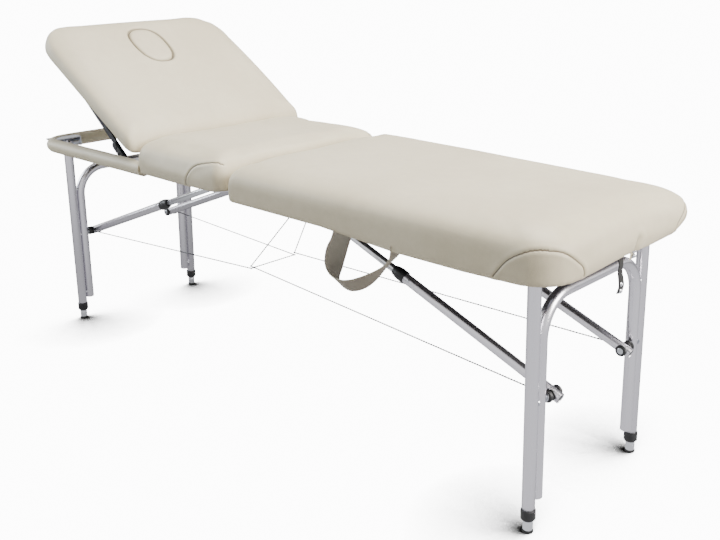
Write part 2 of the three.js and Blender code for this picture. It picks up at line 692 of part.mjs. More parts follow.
for (const [side, y] of SIDES) {
  piece(`backrest_side_rail_${side}`, sideRail(y), 'steel', backrest);
  const sleeveEnd = alongStrut(-STRUT_PIVOT_X, RAIL_Z, STRUT_SLEEVE_LENGTH);
  const sleeve = uprightPlate(
    capsule([-STRUT_PIVOT_X, RAIL_Z], sleeveEnd, STRUT_SLEEVE_HALF),
    y * STRUT_SLEEVE_Y[0],
    y * STRUT_SLEEVE_Y[1],
  );
  const sleeveHole = crossBar(
    -STRUT_PIVOT_X,
    RAIL_Z,
    y * (STRUT_SLEEVE_Y[0] - OVERRUN),
    y * (STRUT_SLEEVE_Y[1] + OVERRUN),
    STRUT_PIN_R + PIVOT_PLAY,
    PIN_SIDES,
  );
  piece(`strut_sleeve_${side}`, cut(sleeve, sleeveHole), 'painted');
  const barEnd = alongStrut(lugX, lugZ, -STRUT_BAR_LENGTH + STRUT_BAR_HALF);
  const strutBar = uprightPlate(
    capsule(barEnd, [lugX, lugZ], STRUT_BAR_HALF),
    y * STRUT_BAR_Y[0],
    y * STRUT_BAR_Y[1],
  );
  const barHole = crossBar(
    lugX,
    lugZ,
    y * (STRUT_BAR_Y[0] - OVERRUN),
    y * (STRUT_BAR_Y[1] + OVERRUN),
    STRUT_PIN_R + PIVOT_PLAY,
    PIN_SIDES,
  );
  piece(`strut_bar_${side}`, cut(strutBar, barHole), 'painted');
}

// ---- Leg frames: each has its own frame with the pivot at 0 and the leg running down -Z ------------

function legGroup(prefix, end) {
  const group = new THREE.Group();
  group.name = `${prefix}_legs`;
  group.position.set(end * LEG_PIVOT_X, 0, LEG_PIVOT_Z);
  group.rotation.y = -end * LEG_RAKE;
  table.add(group);
  return group;
}

function post(y) {
  const top = [0, y * POST_Y, POST_R];
  const bottom = [0, y * POST_Y, legHeight(POST_END_H)];
  const crown = join(
    crossBar(0, 0, y * POST_Y - POST_R - 1, y * POST_Y + POST_R + 1, POST_R),
    block(-POST_R - 1, POST_R + 1, y * POST_Y - POST_R - 1, y * POST_Y + POST_R + 1, bottom[2] - 1, 0),
  );
  const bore = bar([0, y * POST_Y, bottom[2] - 1], [0, y * POST_Y, POST_BORE_TOP_Z], POST_BORE_R);
  const tube = cut(bar(bottom, top, POST_R), bore);
  return cut(common(tube, crown), holeAcross(0, 0, y * POST_Y, POST_R, HOLE_R));
}

function uFrame(end) {
  const bottom = legHeight(U_END_H);
  const path = (overrun) => roundedPath(
    [
      [0, -U_Y, bottom - overrun],
      [0, -U_Y, -U_CROSSBAR_DROP],
      [0, U_Y, -U_CROSSBAR_DROP],
      [0, U_Y, bottom - overrun],
    ],
    [0, U_BEND_R, U_BEND_R, 0],
  );
  const boltHoles = SIDES.map(([, y]) => (
    holeAcross(end * BRACE_BOLT_OUT, legHeight(BRACE_BOLT_H), y * U_Y, U_R, HOLE_R)
  ));
  return cut(
    sweep(path(0), [1, 0, 0], circle(U_R)),
    sweep(path(2), [1, 0, 0], circle(U_BORE_R)),
    ...boltHoles,
  );
}

function collar(y) {
  const at = (height) => [0, y * POST_Y, legHeight(height)];
  return cut(
    bar(at(COLLAR_BOTTOM_H), at(COLLAR_TOP_H), COLLAR_R),
    bar(at(POST_END_H - GAP), at(COLLAR_TOP_H + 1), POST_R + 0.3),
    bar(at(COLLAR_BOTTOM_H - 1), at(POST_END_H), LEG_TUBE_R + 0.3),
  );
}

const BOLT_HEAD_R = 8.5;
const BOLT_HEAD_T = 5;
const SPACER_R = 12.5;
const SPACER_Y = [172, 184.6];      // between the cable eye and the leg
const TIP_TRIM = 3;                 // rubber left below the floor before the tip is trimmed

function braceBolt(end, y) {
  const x = end * BRACE_BOLT_OUT;
  const z = legHeight(BRACE_BOLT_H);
  const headY = BRACE_Y - BRACE_TUBE_R - 1 - BOLT_HEAD_T;
  return join(
    crossBar(x, z, y * headY, y * (U_Y + U_R - 1), PIN_R),
    crossBar(x, z, y * headY, y * (headY + BOLT_HEAD_T), BOLT_HEAD_R),
    crossBar(x, z, y * SPACER_Y[0], y * SPACER_Y[1], SPACER_R),
  );
}

function legTube(y) {
  const at = (height) => [0, y * POST_Y, legHeight(height)];
  const bottom = TIP_TOP_H + GAP;
  return cut(
    bar(at(bottom), at(LEG_TUBE_TOP_H), LEG_TUBE_R),
    bar(at(bottom - 1), at(LEG_TUBE_TOP_H + 1), LEG_TUBE_BORE_R),
  );
}

// The rubber tip is trimmed level with the floor, although the leg leans.
function legTip(end, y) {
  const at = (height) => [0, y * POST_Y, legHeight(height)];
  const reach = 4 * TIP_R;
  const sides = [y * POST_Y - reach, y * POST_Y + reach];
  const below = block(-reach, reach, ...sides, -LEG_PIVOT_Z - reach, -LEG_PIVOT_Z);
  below.translate(end * (LEG_SPREAD_X - LEG_PIVOT_X), 0, 0).rotateY(end * LEG_RAKE);
  return cut(
    join(
      bar(at(-TIP_TRIM), at(TIP_TOP_H), TIP_R),
      bar(at(TIP_TOP_H - 1), at(TIP_PLUG_H), LEG_TUBE_BORE_R - 0.3),
    ),
    below,
  );
}

// Braces have their own frame too: the bolt is at 0 and +Z runs up to the pivot under the board.
function braceGroup(prefix, end) {
  const group = new THREE.Group();
  group.name = `${prefix}_braces`;
  group.position.set(end * BOLT_X, 0, BOLT_Z);
  group.rotation.y = -end * (Math.PI / 2 - BRACE_SLOPE);
  table.add(group);
  return group;
}

function braceTube(y) {
  const at = (t) => [0, y * BRACE_Y, t];
  return cut(
    bar(at(-BRACE_TAIL), at(BRACE_TUBE_LENGTH), BRACE_TUBE_R),
    bar(at(-BRACE_TAIL - 1), at(BRACE_TUBE_LENGTH + 1), BRACE_BORE_R),
    holeAcross(0, 0, y * BRACE_Y, BRACE_TUBE_R, HOLE_R),
  );
}

function braceRod(y) {
  const at = (t) => [0, y * BRACE_Y, t];
  const rod = bar(at(BRACE_TUBE_LENGTH - BRACE_OVERLAP), at(BRACE_LENGTH + BRACE_ROD_END), BRACE_ROD_R);
  return cut(rod, holeAcross(0, BRACE_LENGTH, y * BRACE_Y, BRACE_ROD_R, PIN_R));
}

for (const [prefix, end] of [['foot', 1], ['head', -1]]) {
  const legs = legGroup(prefix, end);
  const braces = braceGroup(prefix, end);
  piece(`${prefix}_u_frame`, uFrame(end), 'aluminium', legs);
  for (const [side, y] of SIDES) {
    piece(`${prefix}_post_${side}`, post(y), 'aluminium', legs);
    piece(`${prefix}_collar_${side}`, collar(y), 'plastic', legs);
    piece(`${prefix}_brace_bolt_${side}`, braceBolt(end, y), 'steel', legs);
    piece(`${prefix}_leg_tube_${side}`, legTube(y), 'aluminium', legs);
    piece(`${prefix}_leg_tip_${side}`, legTip(end, y), 'rubber', legs);
    piece(`${prefix}_brace_tube_${side}`, braceTube(y), 'aluminium', braces);
    piece(`${prefix}_brace_rod_${side}`, braceRod(y), 'aluminium', braces);
  }
}

// ---- Steel wires that keep the legs from spreading --------------------------------------------------

const EYE_R = 10;
const EYE_BORE_R = HOLE_R + 0.2;
const EYE_Y = [168, 170.5];
const WIRE_SIDES = 6;
const BEAD_R = 2.6;                 // crimps where the wires meet

function wireRun(points) {
  return points.slice(1).map((point, i) => bar(points[i], point, CABLE_R, WIRE_SIDES));
}

const bead = ([x, y, z], radius) => new THREE.SphereGeometry(radius, 8, 6).translate(x, y, z);

function boltEye(end, y) {
  return crossBar(end * BOLT_X, BOLT_Z, y * EYE_Y[0], y * EYE_Y[1], EYE_R);
}

function wireSet(end, middle) {
  const eyeEdge = (y) => [end * (BOLT_X - EYE_R + 1), (y * (EYE_Y[0] + EYE_Y[1])) / 2, BOLT_Z];
  const points = [eyeEdge(-1), ...middle, eyeEdge(1)];
  const eyes = SIDES.map(([, y]) => boltEye(end, y));
  const holes = SIDES.map(([, y]) => (
    holeAcross(end * BOLT_X, BOLT_Z, (y * (EYE_Y[0] + EYE_Y[1])) / 2, EYE_Y[1] - EYE_Y[0], EYE_BORE_R)
  ));
  return cut(join(...wireRun(points), ...middle.map((point) => bead(point, BEAD_R)), ...eyes), ...holes);
}

const [nodeX, nodeY, nodeZ] = CABLE_NODE;
const NODE_DROP = 7;                // the head wires meet just below the foot wires
piece('cable_foot', wireSet(1, [[nodeX, -nodeY, nodeZ], CABLE_HOOK, [nodeX, nodeY, nodeZ]]), 'steel');
piece('cable_head', wireSet(-1, [
  [nodeX, -nodeY, nodeZ - NODE_DROP],
  [nodeX, nodeY, nodeZ - NODE_DROP],
]), 'steel');

// ---- Straps -------------------------------------------------------------------------------------------

const STRAP_T = 3;

// Carry handle: a broad band hanging in a loop under the near side of the foot half.
const HANDLE_Y = [-302, -256];
const HANDLE_TOP_Z = SKIRT_Z - 3;
const HANDLE_BENDS = [              // x, z and bend radius
  [430, HANDLE_TOP_Z, 0],
  [392, HANDLE_TOP_Z, 14],
  [352, 505, 40],
  [420, 452, 60],
  [520, 478, 70],
  [575, HANDLE_TOP_Z, 14],
  [610, HANDLE_TOP_Z, 0],
];
const bandPath = (bends) => roundedPath(bends.map(([x, z]) => [x, 0, z]), bends.map(([, , r]) => r));
const bandSection = (y0, y1) => [
  [-STRAP_T / 2, y0],
  [STRAP_T / 2, y0],
  [STRAP_T / 2, y1],
  [-STRAP_T / 2, y1],
];
piece('carry_handle', sweep(bandPath(HANDLE_BENDS), [0, 1, 0], bandSection(...HANDLE_Y)), 'strap');

// Closing strap at the foot end, tucked under the upholstery.
const CLOSING_Y = [-24, -5];
const CLOSING_TOP_Z = SKIRT_Z - 2.2;
const CLOSING_BENDS = [
  [930, CLOSING_TOP_Z, 0],
  [955, CLOSING_TOP_Z, 6],
  [958, 545, 20],
  [955, 500, 0],
];
piece('closing_strap', sweep(bandPath(CLOSING_BENDS), [0, 1, 0], bandSection(...CLOSING_Y)), 'plastic');

table.position.x = -ORIGIN_SHIFT;

export default table;
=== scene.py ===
"""Portable massage table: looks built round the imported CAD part. Lengths are millimetres unless noted."""
import json
import math

import bmesh
import bpy
import numpy as np
from mathutils import Matrix, Quaternion, Vector
from mathutils.bvhtree import BVHTree


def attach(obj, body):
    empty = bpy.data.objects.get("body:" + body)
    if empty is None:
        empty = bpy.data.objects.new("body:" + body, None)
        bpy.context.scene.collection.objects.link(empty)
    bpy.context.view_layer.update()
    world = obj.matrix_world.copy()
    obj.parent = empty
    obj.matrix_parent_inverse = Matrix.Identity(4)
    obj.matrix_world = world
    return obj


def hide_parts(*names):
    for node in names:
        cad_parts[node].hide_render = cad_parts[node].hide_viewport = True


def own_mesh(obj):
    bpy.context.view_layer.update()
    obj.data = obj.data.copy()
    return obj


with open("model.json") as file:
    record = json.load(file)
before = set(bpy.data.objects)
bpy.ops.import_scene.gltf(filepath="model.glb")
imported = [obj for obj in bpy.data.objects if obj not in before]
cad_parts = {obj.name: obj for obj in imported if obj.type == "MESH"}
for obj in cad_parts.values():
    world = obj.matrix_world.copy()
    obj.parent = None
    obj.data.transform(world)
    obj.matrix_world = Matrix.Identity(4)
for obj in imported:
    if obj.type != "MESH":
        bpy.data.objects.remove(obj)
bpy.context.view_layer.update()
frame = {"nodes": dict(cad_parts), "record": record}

MM = 0.001
SHIFT_X = -17.5        # the shapes are built with x = 0 at the fold; the origin is midway along the table

# ---- Dimensions shared with the CAD part -----------------------------------------------------------

SIDES = (("near", -1), ("far", 1))
ENDS = (("foot", 1), ("head", -1))
TOP_Z = 690
SKIRT_Z = 586
BOARD_TOP_Z = 642.4
HALF_WIDTH = 310
LEG_PIVOT_X = 884
LEG_PIVOT_Z = 612
LEG_SPREAD_X = 905
LEG_RAKE = math.atan2(LEG_SPREAD_X - LEG_PIVOT_X, LEG_PIVOT_Z)
LEG_LENGTH = math.hypot(LEG_SPREAD_X - LEG_PIVOT_X, LEG_PIVOT_Z)
POST_Y = 228
POST_R = 14.5
U_R = 14
U_Y = POST_Y - POST_R - U_R - 0.3
BOLT_X = 899.65
BOLT_Z = 301.59
BRACE_Y = 153
BRACE_TOP_X = 100
BRACE_TOP_Z = 609
BRACE_SLOPE = math.atan2(BRACE_TOP_Z - BOLT_Z, BOLT_X - BRACE_TOP_X)
RAIL_Y = 284
RAIL_Z = 612
RAIL_R = 12.5
HEAD_RAIL_X = 922
BACK_PIVOT_X = 394
BACK_PIVOT_Z = 632
BACK_ANGLE = math.radians(31)
BACK_LIFT = 15
BACK_T = 53
BACK_NEAR_U = 34       # the backrest pad's ends, from the hinge
BACK_FAR_U = 585
BACK_HALF_WIDTH = 330
PLUG_U = 420
PLUG_Y = 6


# ---- Materials -------------------------------------------------------------------------------------

def srgb(r, g, b):
    """Linear colour from 0-255 display values."""
    shares = (v / 255 for v in (r, g, b))
    return tuple(v / 12.92 if v <= 10 / 255 else ((v + 0.055) / 1.055) ** 2.4 for v in shares) + (1.0,)


class Nodes:
    """A node tree, with short ways to add and join nodes."""

    def __init__(self, tree):
        self.tree = tree

    def node(self, kind, inputs=None, **settings):
        made = self.tree.nodes.new(kind)
        for key, value in settings.items():
            setattr(made, key, value)
        for key, value in (inputs or {}).items():
            self.join(value, made.inputs[key])
        return made

    def join(self, value, socket):
        if isinstance(value, bpy.types.NodeSocket):
            self.tree.links.new(value, socket)
        else:
            socket.default_value = value

    def coordinates(self, stretch=(1, 1, 1)):
        place = self.node("ShaderNodeTexCoord").outputs["Object"]
        return self.node("ShaderNodeMapping", {"Vector": place, "Scale": stretch}).outputs[0]

    def noise(self, scale, detail=3, stretch=(1, 1, 1), roughness=0.5):
        made = self.node("ShaderNodeTexNoise", {
            "Vector": self.coordinates(stretch), "Scale": scale, "Detail": detail, "Roughness": roughness})
        return made.outputs["Fac"]

    def cells(self, scale, feature="DISTANCE_TO_EDGE", stretch=(1, 1, 1)):
        made = self.node("ShaderNodeTexVoronoi", {"Vector": self.coordinates(stretch), "Scale": scale},
                         feature=feature)
        return made.outputs["Distance"]

    def ramp(self, factor, low, high, start=0.0, end=1.0):
        made = self.node("ShaderNodeValToRGB", {"Fac": factor})
        stops = made.color_ramp.elements
        stops[0].position, stops[0].color = start, low
        stops[1].position, stops[1].color = end, high
        return made.outputs["Color"]

    def spread(self, factor, low, high):
        """Maps 0-1 to low-high."""
        made = self.node("ShaderNodeMapRange", {"Value": factor, "To Min": low, "To Max": high})
        return made.outputs["Result"]

    def mix(self, factor, a, b, blend="MIX"):
        made = self.node("ShaderNodeMix", data_type="RGBA", blend_type=blend)
        self.join(factor, made.inputs[0])
        self.join(a, made.inputs[6])
        self.join(b, made.inputs[7])
        return made.outputs[2]

    def math(self, operation, a, b=0.0):
        made = self.node("ShaderNodeMath", operation=operation)
        self.join(a, made.inputs[0])
        self.join(b, made.inputs[1])
        return made.outputs[0]

    def facing(self, vector, way):
        """How far a vector points along a fixed way."""
        product = self.node("ShaderNodeVectorMath", {0: vector, 1: way}, operation="DOT_PRODUCT")
        return product.outputs["Value"]

    def by_ray(self, plain, shiny, seen, output):
        """Gives the light, reflections and the camera a shader each."""
        path = self.node("ShaderNodeLightPath").outputs
        first = self.node("ShaderNodeMixShader", {0: path["Is Glossy Ray"], 1: plain, 2: shiny})
        second = self.node("ShaderNodeMixShader", {0: path["Is Camera Ray"], 1: first.outputs[0], 2: seen})
        self.node(output, {"Surface": second.outputs[0]})


class Shader(Nodes):
    """A material built round its Principled BSDF node."""

    def __init__(self, name):
        self.material = bpy.data.materials.new(name)
        self.material.use_nodes = True
        super().__init__(self.material.node_tree)
        self.bsdf = self.tree.nodes["Principled BSDF"]

    def attribute(self, name):
        return self.node("ShaderNodeAttribute", attribute_name=name).outputs["Fac"]

    def bump(self, height, strength, distance, normal=None):
        inputs = {"Height": height, "Strength": strength, "Distance": distance}
        if normal is not None:
            inputs["Normal"] = normal
        return self.node("ShaderNodeBump", inputs).outputs["Normal"]

    def surface(self, **inputs):
        for key, value in inputs.items():
            self.join(value, self.bsdf.inputs[key.replace("_", " ")])
        return self.material


LINING = srgb(172, 167, 154)


def vinyl(name, light, dark, seam_dark, rough=0.46):
    s = Shader(name)
    broad = s.noise(3.2, 2)
    mottle = s.noise(38, 4)
    colour = s.ramp(s.math("ADD", s.math("MULTIPLY", broad, 0.7), s.math("MULTIPLY", mottle, 0.3)),
                    dark, light, 0.36, 0.64)
    grain = s.cells(950)
    pores = s.noise(1500, 2)
    colour = s.mix(s.math("MULTIPLY", s.spread(grain, 1.0, 0.0), 0.06), colour, dark, "MULTIPLY")
    # Seams take the seam colour; on the foot end's pucker the same mark is painted shade in the crease.
    colour = s.mix(s.attribute("seam"), colour, seam_dark)
    colour = s.mix(s.attribute("lining"), colour, LINING)
    fine = s.bump(s.math("ADD", grain, s.math("MULTIPLY", pores, 0.4)), 0.16, 0.0004)
    soft = s.bump(s.noise(16, 2), 0.08, 0.004, fine)
    return s.surface(Base_Color=colour, Roughness=s.spread(s.noise(60, 3), rough - 0.05, rough + 0.07),
                     Normal=soft, Specular_IOR_Level=0.42, Sheen_Weight=0.08, Sheen_Roughness=0.5)


def metal(name, base, rough, brushed=0.05, stretch=(1, 1, 1)):
    s = Shader(name)
    streak = s.noise(900, 3, stretch)
    cloud = s.noise(14, 3)
    wear = s.noise(140, 5, roughness=0.7)
    colour = s.mix(s.spread(cloud, 0.0, 0.2), base, tuple(v * 0.92 for v in base[:3]) + (1.0,))
    colour = s.mix(s.math("MULTIPLY", s.math("GREATER_THAN", wear, 0.74), 0.08), colour, (0.5, 0.5, 0.5, 1))
    roughness = s.math("ADD", s.spread(cloud, rough - 0.02, rough + 0.03), s.math("MULTIPLY", streak, 0.03))
    return s.surface(Base_Color=colour, Metallic=1.0, Roughness=roughness,
                     Normal=s.bump(streak, brushed, 0.0003))


def plastic(name, base, rough, grain=0.25):
    s = Shader(name)
    scuff = s.noise(120, 4)
    colour = s.ramp(scuff, base, tuple(min(1, v * 1.9 + 0.006) for v in base[:3]) + (1.0,), 0.45, 0.85)
    return s.surface(Base_Color=colour, Roughness=s.spread(scuff, rough - 0.06, rough + 0.12),
                     Normal=s.bump(s.noise(1600, 2), grain, 0.0003))


def woven(name, base, dark, scale, rough=0.8, seam_dark=None):
    s = Shader(name)
    s_wave = []
    for direction in ("X", "Z"):
        wave = s.node("ShaderNodeTexWave", {"Vector": s.coordinates(), "Scale": scale, "Distortion": 0.4},
                      bands_direction=direction)
        s_wave.append(wave.outputs["Fac"])
    weave = s.math("MULTIPLY", s_wave[0], s_wave[1])
    colour = s.mix(weave, dark, base)
    colour = s.mix(s.spread(s.noise(45, 4), 0.0, 0.5), colour, dark)
    if seam_dark is not None:
        colour = s.mix(s.attribute("seam"), colour, seam_dark)
    return s.surface(Base_Color=colour, Roughness=rough, Sheen_Weight=0.15,
                     Normal=s.bump(weave, 0.35, 0.0006))


def wood(name):
    s = Shader(name)
    grain = s.noise(26, 6, (0.12, 1, 1), 0.6)
    fibre = s.noise(420, 3, (0.06, 1, 1))
    colour = s.ramp(grain, srgb(40, 38, 38), srgb(58, 55, 54), 0.32, 0.7)
    colour = s.mix(s.math("MULTIPLY", fibre, 0.25), colour, srgb(28, 26, 26))
    return s.surface(Base_Color=colour, Roughness=0.72, Normal=s.bump(fibre, 0.3, 0.0006))


LOOKS = {
    "upholstery": vinyl("upholstery", srgb(216, 206, 180), srgb(206, 195, 168), srgb(104, 92, 74)),
    "handle_band": vinyl("handle_band", srgb(168, 158, 140), srgb(148, 139, 123), srgb(196, 190, 176), 0.55),
    "webbing": woven("webbing", srgb(44, 44, 46), srgb(14, 14, 15), 420),
    "plywood": wood("plywood"),
    "wire": metal("wire", srgb(104, 104, 107), 0.5),
    "painted_steel": plastic("painted_steel", srgb(40, 41, 45), 0.36, 0.1),
    "black_plastic": plastic("black_plastic", srgb(27, 27, 29), 0.42),
    "rubber": plastic("rubber", srgb(24, 24, 25), 0.7, 0.4),
    "polished_rod": metal("polished_rod", srgb(226, 228, 232), 0.17, 0.0),
    "steel": metal("steel", srgb(196, 199, 204), 0.24, 0.08),
    "aluminium_tube": metal("aluminium_tube", srgb(226, 224, 230), 0.25, 0.0, (1, 1, 0.02)),
}

node_slots = {s["node"]: s["material_slot"] for s in frame["record"]["subparts"]}
for node_name, node_object in frame["nodes"].items():
    look = LOOKS[node_slots[node_name]]
    for material_slot in node_object.material_slots:
        material_slot.material = look


# ---- Mesh helpers ----------------------------------------------------------------------------------

def blank(points, faces, name):
    """A mesh object from millimetre points, without a material."""
    mesh = bpy.data.meshes.new(name)
    mesh.from_pydata([tuple(c * MM for c in p) for p in points], [], [tuple(f) for f in faces])
    mesh.validate()
    orient(mesh)
    obj = bpy.data.objects.new(name, mesh)
    bpy.context.scene.collection.objects.link(obj)
    return obj


def make(name, points, faces, slot, body=None, sharp=35, replaces=()):
    """A finished piece. sharp is the angle in degrees above which edges stay crisp."""
    obj = blank(points, faces, name)
    finish(obj, slot, body, sharp, replaces)
    return obj


def orient(mesh):
    """Turns every face outwards."""
    work = bmesh.new()
    work.from_mesh(mesh)
    bmesh.ops.recalc_face_normals(work, faces=work.faces)
    work.to_mesh(mesh)
    work.free()


def finish(obj, slot, body=None, sharp=35, replaces=()):
    """Moves a shape to the table's own origin, and gives it its look and the body it rides on."""
    obj.data.transform(Matrix.Translation((SHIFT_X * MM, 0, 0)))
    orient(obj.data)
    obj.data.shade_smooth()
    if sharp < 180:
        obj.data.set_sharp_from_angle(angle=math.radians(sharp))
    obj.data.materials.clear()
    obj.data.materials.append(LOOKS[slot])
    if body:
        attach(obj, body)
    if replaces:
        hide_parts(*replaces)


def skin(rings, closed=False, caps=True):
    """Points and faces joining rings of equal length."""
    count = len(rings[0])
    points = [tuple(p) for ring in rings for p in ring]
    faces = []
    total = len(rings)
    for i in range(total if closed else total - 1):
        a, b = i * count, ((i + 1) % total) * count
        for j in range(count):
            k = (j + 1) % count
            faces.append((a + j, a + k, b + k, b + j))
    if caps and not closed:
        faces.append(tuple(range(count)))
        faces.append(tuple((total - 1) * count + j for j in range(count)))
    return points, faces


def merge_parts(parts):
    """Several [points, faces] as one."""
    points, faces = [], []
    for more_points, more_faces in parts:
        base = len(points)
        points += more_points
        faces += [tuple(base + i for i in f) for f in more_faces]
    return points, faces


def axes_for(direction):
    """A direction as a unit vector, with two more square to it."""
    d = Vector(direction).normalized()
    helper = Vector((0, 1, 0)) if abs(d.y) < 0.9 else Vector((1, 0, 0))
    u = d.cross(helper).normalized()
    return d, u, d.cross(u).normalized()


def lathe_parts(origin, direction, profile, sides=40):
    """A turned solid: profile is [(distance along the axis, radius)]."""
    d, u, v = axes_for(direction)
    o = Vector(origin)
    rings = []
    for along, radius in profile:
        radius = max(radius, 0.02)
        rings.append([o + d * along + (u * math.cos(a) + v * math.sin(a)) * radius
                      for a in (2 * math.pi * k / sides for k in range(sides))])
    return skin(rings)


def lathe(name, origin, direction, profile, slot, body, sides=40, sharp=35, replaces=()):
    points, faces = lathe_parts(origin, direction, profile, sides)
    return make(name, points, faces, slot, body, sharp, replaces)


def rounded_path(corners, radii, steps=14, closed=False):
    """Replaces corners of a path by arcs."""
    path = []
    count = len(corners)
    for i, corner in enumerate(corners):
        here = Vector(corner)
        end = not closed and i in (0, count - 1)
        if end or not radii[i]:
            path.append(here)
            continue
        back = (Vector(corners[i - 1]) - here).normalized()
        ahead = (Vector(corners[(i + 1) % count]) - here).normalized()
        half = back.angle(ahead) / 2
        centre = here + (back + ahead).normalized() * (radii[i] / math.sin(half))
        first = here + back * (radii[i] / math.tan(half)) - centre
        last = here + ahead * (radii[i] / math.tan(half)) - centre
        turn = first.rotation_difference(last)
        for k in range(steps + 1):
            path.append(centre + Quaternion((1, 0, 0, 0)).slerp(turn, k / steps) @ first)
    return path


def smooth_path(points, per_span=8):
    """Catmull-Rom curve through points."""
    pts = [Vector(p) for p in points]
    out = []
    for i in range(len(pts) - 1):
        p0, p1, p2, p3 = pts[max(i - 1, 0)], pts[i], pts[i + 1], pts[min(i + 2, len(pts) - 1)]
        for k in range(per_span):
            t = k / per_span
            out.append(0.5 * ((2 * p1) + (p2 - p0) * t + (2 * p0 - 5 * p1 + 4 * p2 - p3) * t * t
                              + (3 * p1 - p0 - 3 * p2 + p3) * t ** 3))
    out.append(pts[-1])
    return out


def frames_along(path, first_side):
    """Tangent and two side directions at each point, carried along without twisting."""
    out = []
    side = Vector(first_side).normalized()
    for i, p in enumerate(path):
        tangent = (path[min(i + 1, len(path) - 1)] - path[max(i - 1, 0)]).normalized()
        side = (side - tangent * side.dot(tangent)).normalized()
        out.append((tangent, side, tangent.cross(side)))
    return out


def tube_parts(path, radius, sides=32, hollow=0, first_side=(0, 0, 1)):
    """A round tube along a path, with open mouths when hollow gives the bore radius."""
    frames = frames_along(path, first_side)

    def ring(index, r, shift=0.0):
        tangent, u, v = frames[index]
        centre = path[index] + tangent * shift
        return [centre + (u * math.cos(a) + v * math.sin(a)) * r
                for a in (2 * math.pi * k / sides for k in range(sides))]

    rings = [ring(i, radius) for i in range(len(path))]
    if hollow:
        start = [ring(0, hollow, 18), ring(0, hollow, 0.5), ring(0, radius - 0.6, 0)]
        end = [ring(-1, radius - 0.6, 0), ring(-1, hollow, -0.5), ring(-1, hollow, -18)]
        rings[0] = ring(0, radius, 0.6)
        rings[-1] = ring(len(path) - 1, radius, -0.6)
        rings = start + rings + end
    return skin(rings)


def grid_band(path, widths, twists, across, thickness, cells=10, edge=1.2):
    """A strap along a path. across is its width direction before twisting; edges are rounded."""
    frames = frames_along(path, across)
    rings, marks = [], []
    for (tangent, side, normal), p, width, twist in zip(frames, path, widths, twists):
        side = Quaternion(tangent, twist) @ side
        normal = tangent.cross(side)
        half = width / 2
        ring, mark = [], []
        for face in (1, -1):
            for k in range(cells + 1):
                s = (-1 + 2 * k / cells) * face
                bulge = thickness / 2 * (1 - 0.75 * abs(s) ** 8)
                ring.append(p + side * (half * s) + normal * (face * bulge))
                mark.append(abs(s))
        rings.append(ring)
        marks.append(mark)
    return skin(rings), marks


def apply_boolean(obj, tool):
    """Cuts tool out of obj; a solver that loses the shape is followed by the next one."""
    original = obj.data.copy()
    for solver in ("MANIFOLD", "EXACT", "FAST"):
        modifier = obj.modifiers.new("cut", "BOOLEAN")
        modifier.operation = "DIFFERENCE"
        modifier.solver = solver
        modifier.object = tool
        bake(obj)
        if len(obj.data.vertices) > 0.6 * len(original.vertices):
            break
        obj.data = original.copy()
    bpy.data.objects.remove(tool)


def bake(obj):
    """Replaces the mesh by its shape after the modifiers."""
    bpy.context.view_layer.update()
    graph = bpy.context.evaluated_depsgraph_get()
    mesh = bpy.data.meshes.new_from_object(obj.evaluated_get(graph))
    obj.modifiers.clear()
    old = obj.data
    obj.data = mesh
    bpy.data.meshes.remove(old)


def block_points(x0, x1, y0, y1, z0, z1):
    points = [(x, y, z) for x in (x0, x1) for y in (y0, y1) for z in (z0, z1)]
    faces = [(0, 1, 3, 2), (4, 6, 7, 5), (0, 4, 5, 1), (2, 3, 7, 6), (0, 2, 6, 4), (1, 5, 7, 3)]
    return points, faces


def vertex_array(mesh):
    co = np.zeros(len(mesh.vertices) * 3, np.float32)
    mesh.vertices.foreach_get("co", co)
    return co.reshape(-1, 3).astype(float)


def normal_array(mesh):
    normals = np.zeros(len(mesh.vertices) * 3, np.float32)
    mesh.vertices.foreach_get("normal", normals)
    return normals.reshape(-1, 3)


def mark_points(obj, name, values):
    """Stores one number per vertex for a material to read."""
    obj.data.attributes.new(name, "FLOAT", "POINT").data.foreach_set("value", np.array(values, np.float32))


def set_vertices(mesh, co):
    mesh.vertices.foreach_set("co", co.astype(np.float32).ravel())
    mesh.update()


# ---- Padded pieces: shape, remesh, cloth, seams ----------------------------------------------------

def plan_outline(plan, inset, arc=9, straight=26):
    """Outline of a rectangle with its own corner radius at each end, with points along the straights too."""
    x0, x1, half_width, r0, r1 = plan
    corners = ((x1, 1, r1, 0), (x0, 1, r0, 1), (x0, -1, r0, 2), (x1, -1, r1, 3))
    arcs = []
    for x, side, radius, quarter in corners:
        r = max(radius - inset, 4)
        inward = -1 if x == x1 else 1
        cx, cy = x + inward * (inset + r), side * (half_width - inset - r)
        arcs.append([(cx + r * math.cos(a), cy + r * math.sin(a))
                     for a in ((quarter + k / arc) * math.pi / 2 for k in range(arc + 1))])
    outline = []
    for i, points in enumerate(arcs):
        outline += points
        (xa, ya), (xb, yb) = points[-1], arcs[(i + 1) % 4][0]
        outline += [(xa + (xb - xa) * k / straight, ya + (yb - ya) * k / straight)
                    for k in range(1, straight)]
    return outline


def padded_block(plan, profiles, weight):
    """Stacked outlines. profiles are two [inset, z] lists; weight(x, y) picks between them."""
    rings = []
    for (inset_a, z_a), (inset_b, z_b) in zip(*profiles):
        ring = []
        for (xa, ya), (xb, yb) in zip(plan_outline(plan, inset_a), plan_outline(plan, inset_b)):
            w = weight(xa, ya)
            ring.append((xa + (xb - xa) * w, ya + (yb - ya) * w, z_a + (z_b - z_a) * w))
        rings.append(ring)
    return skin(rings)


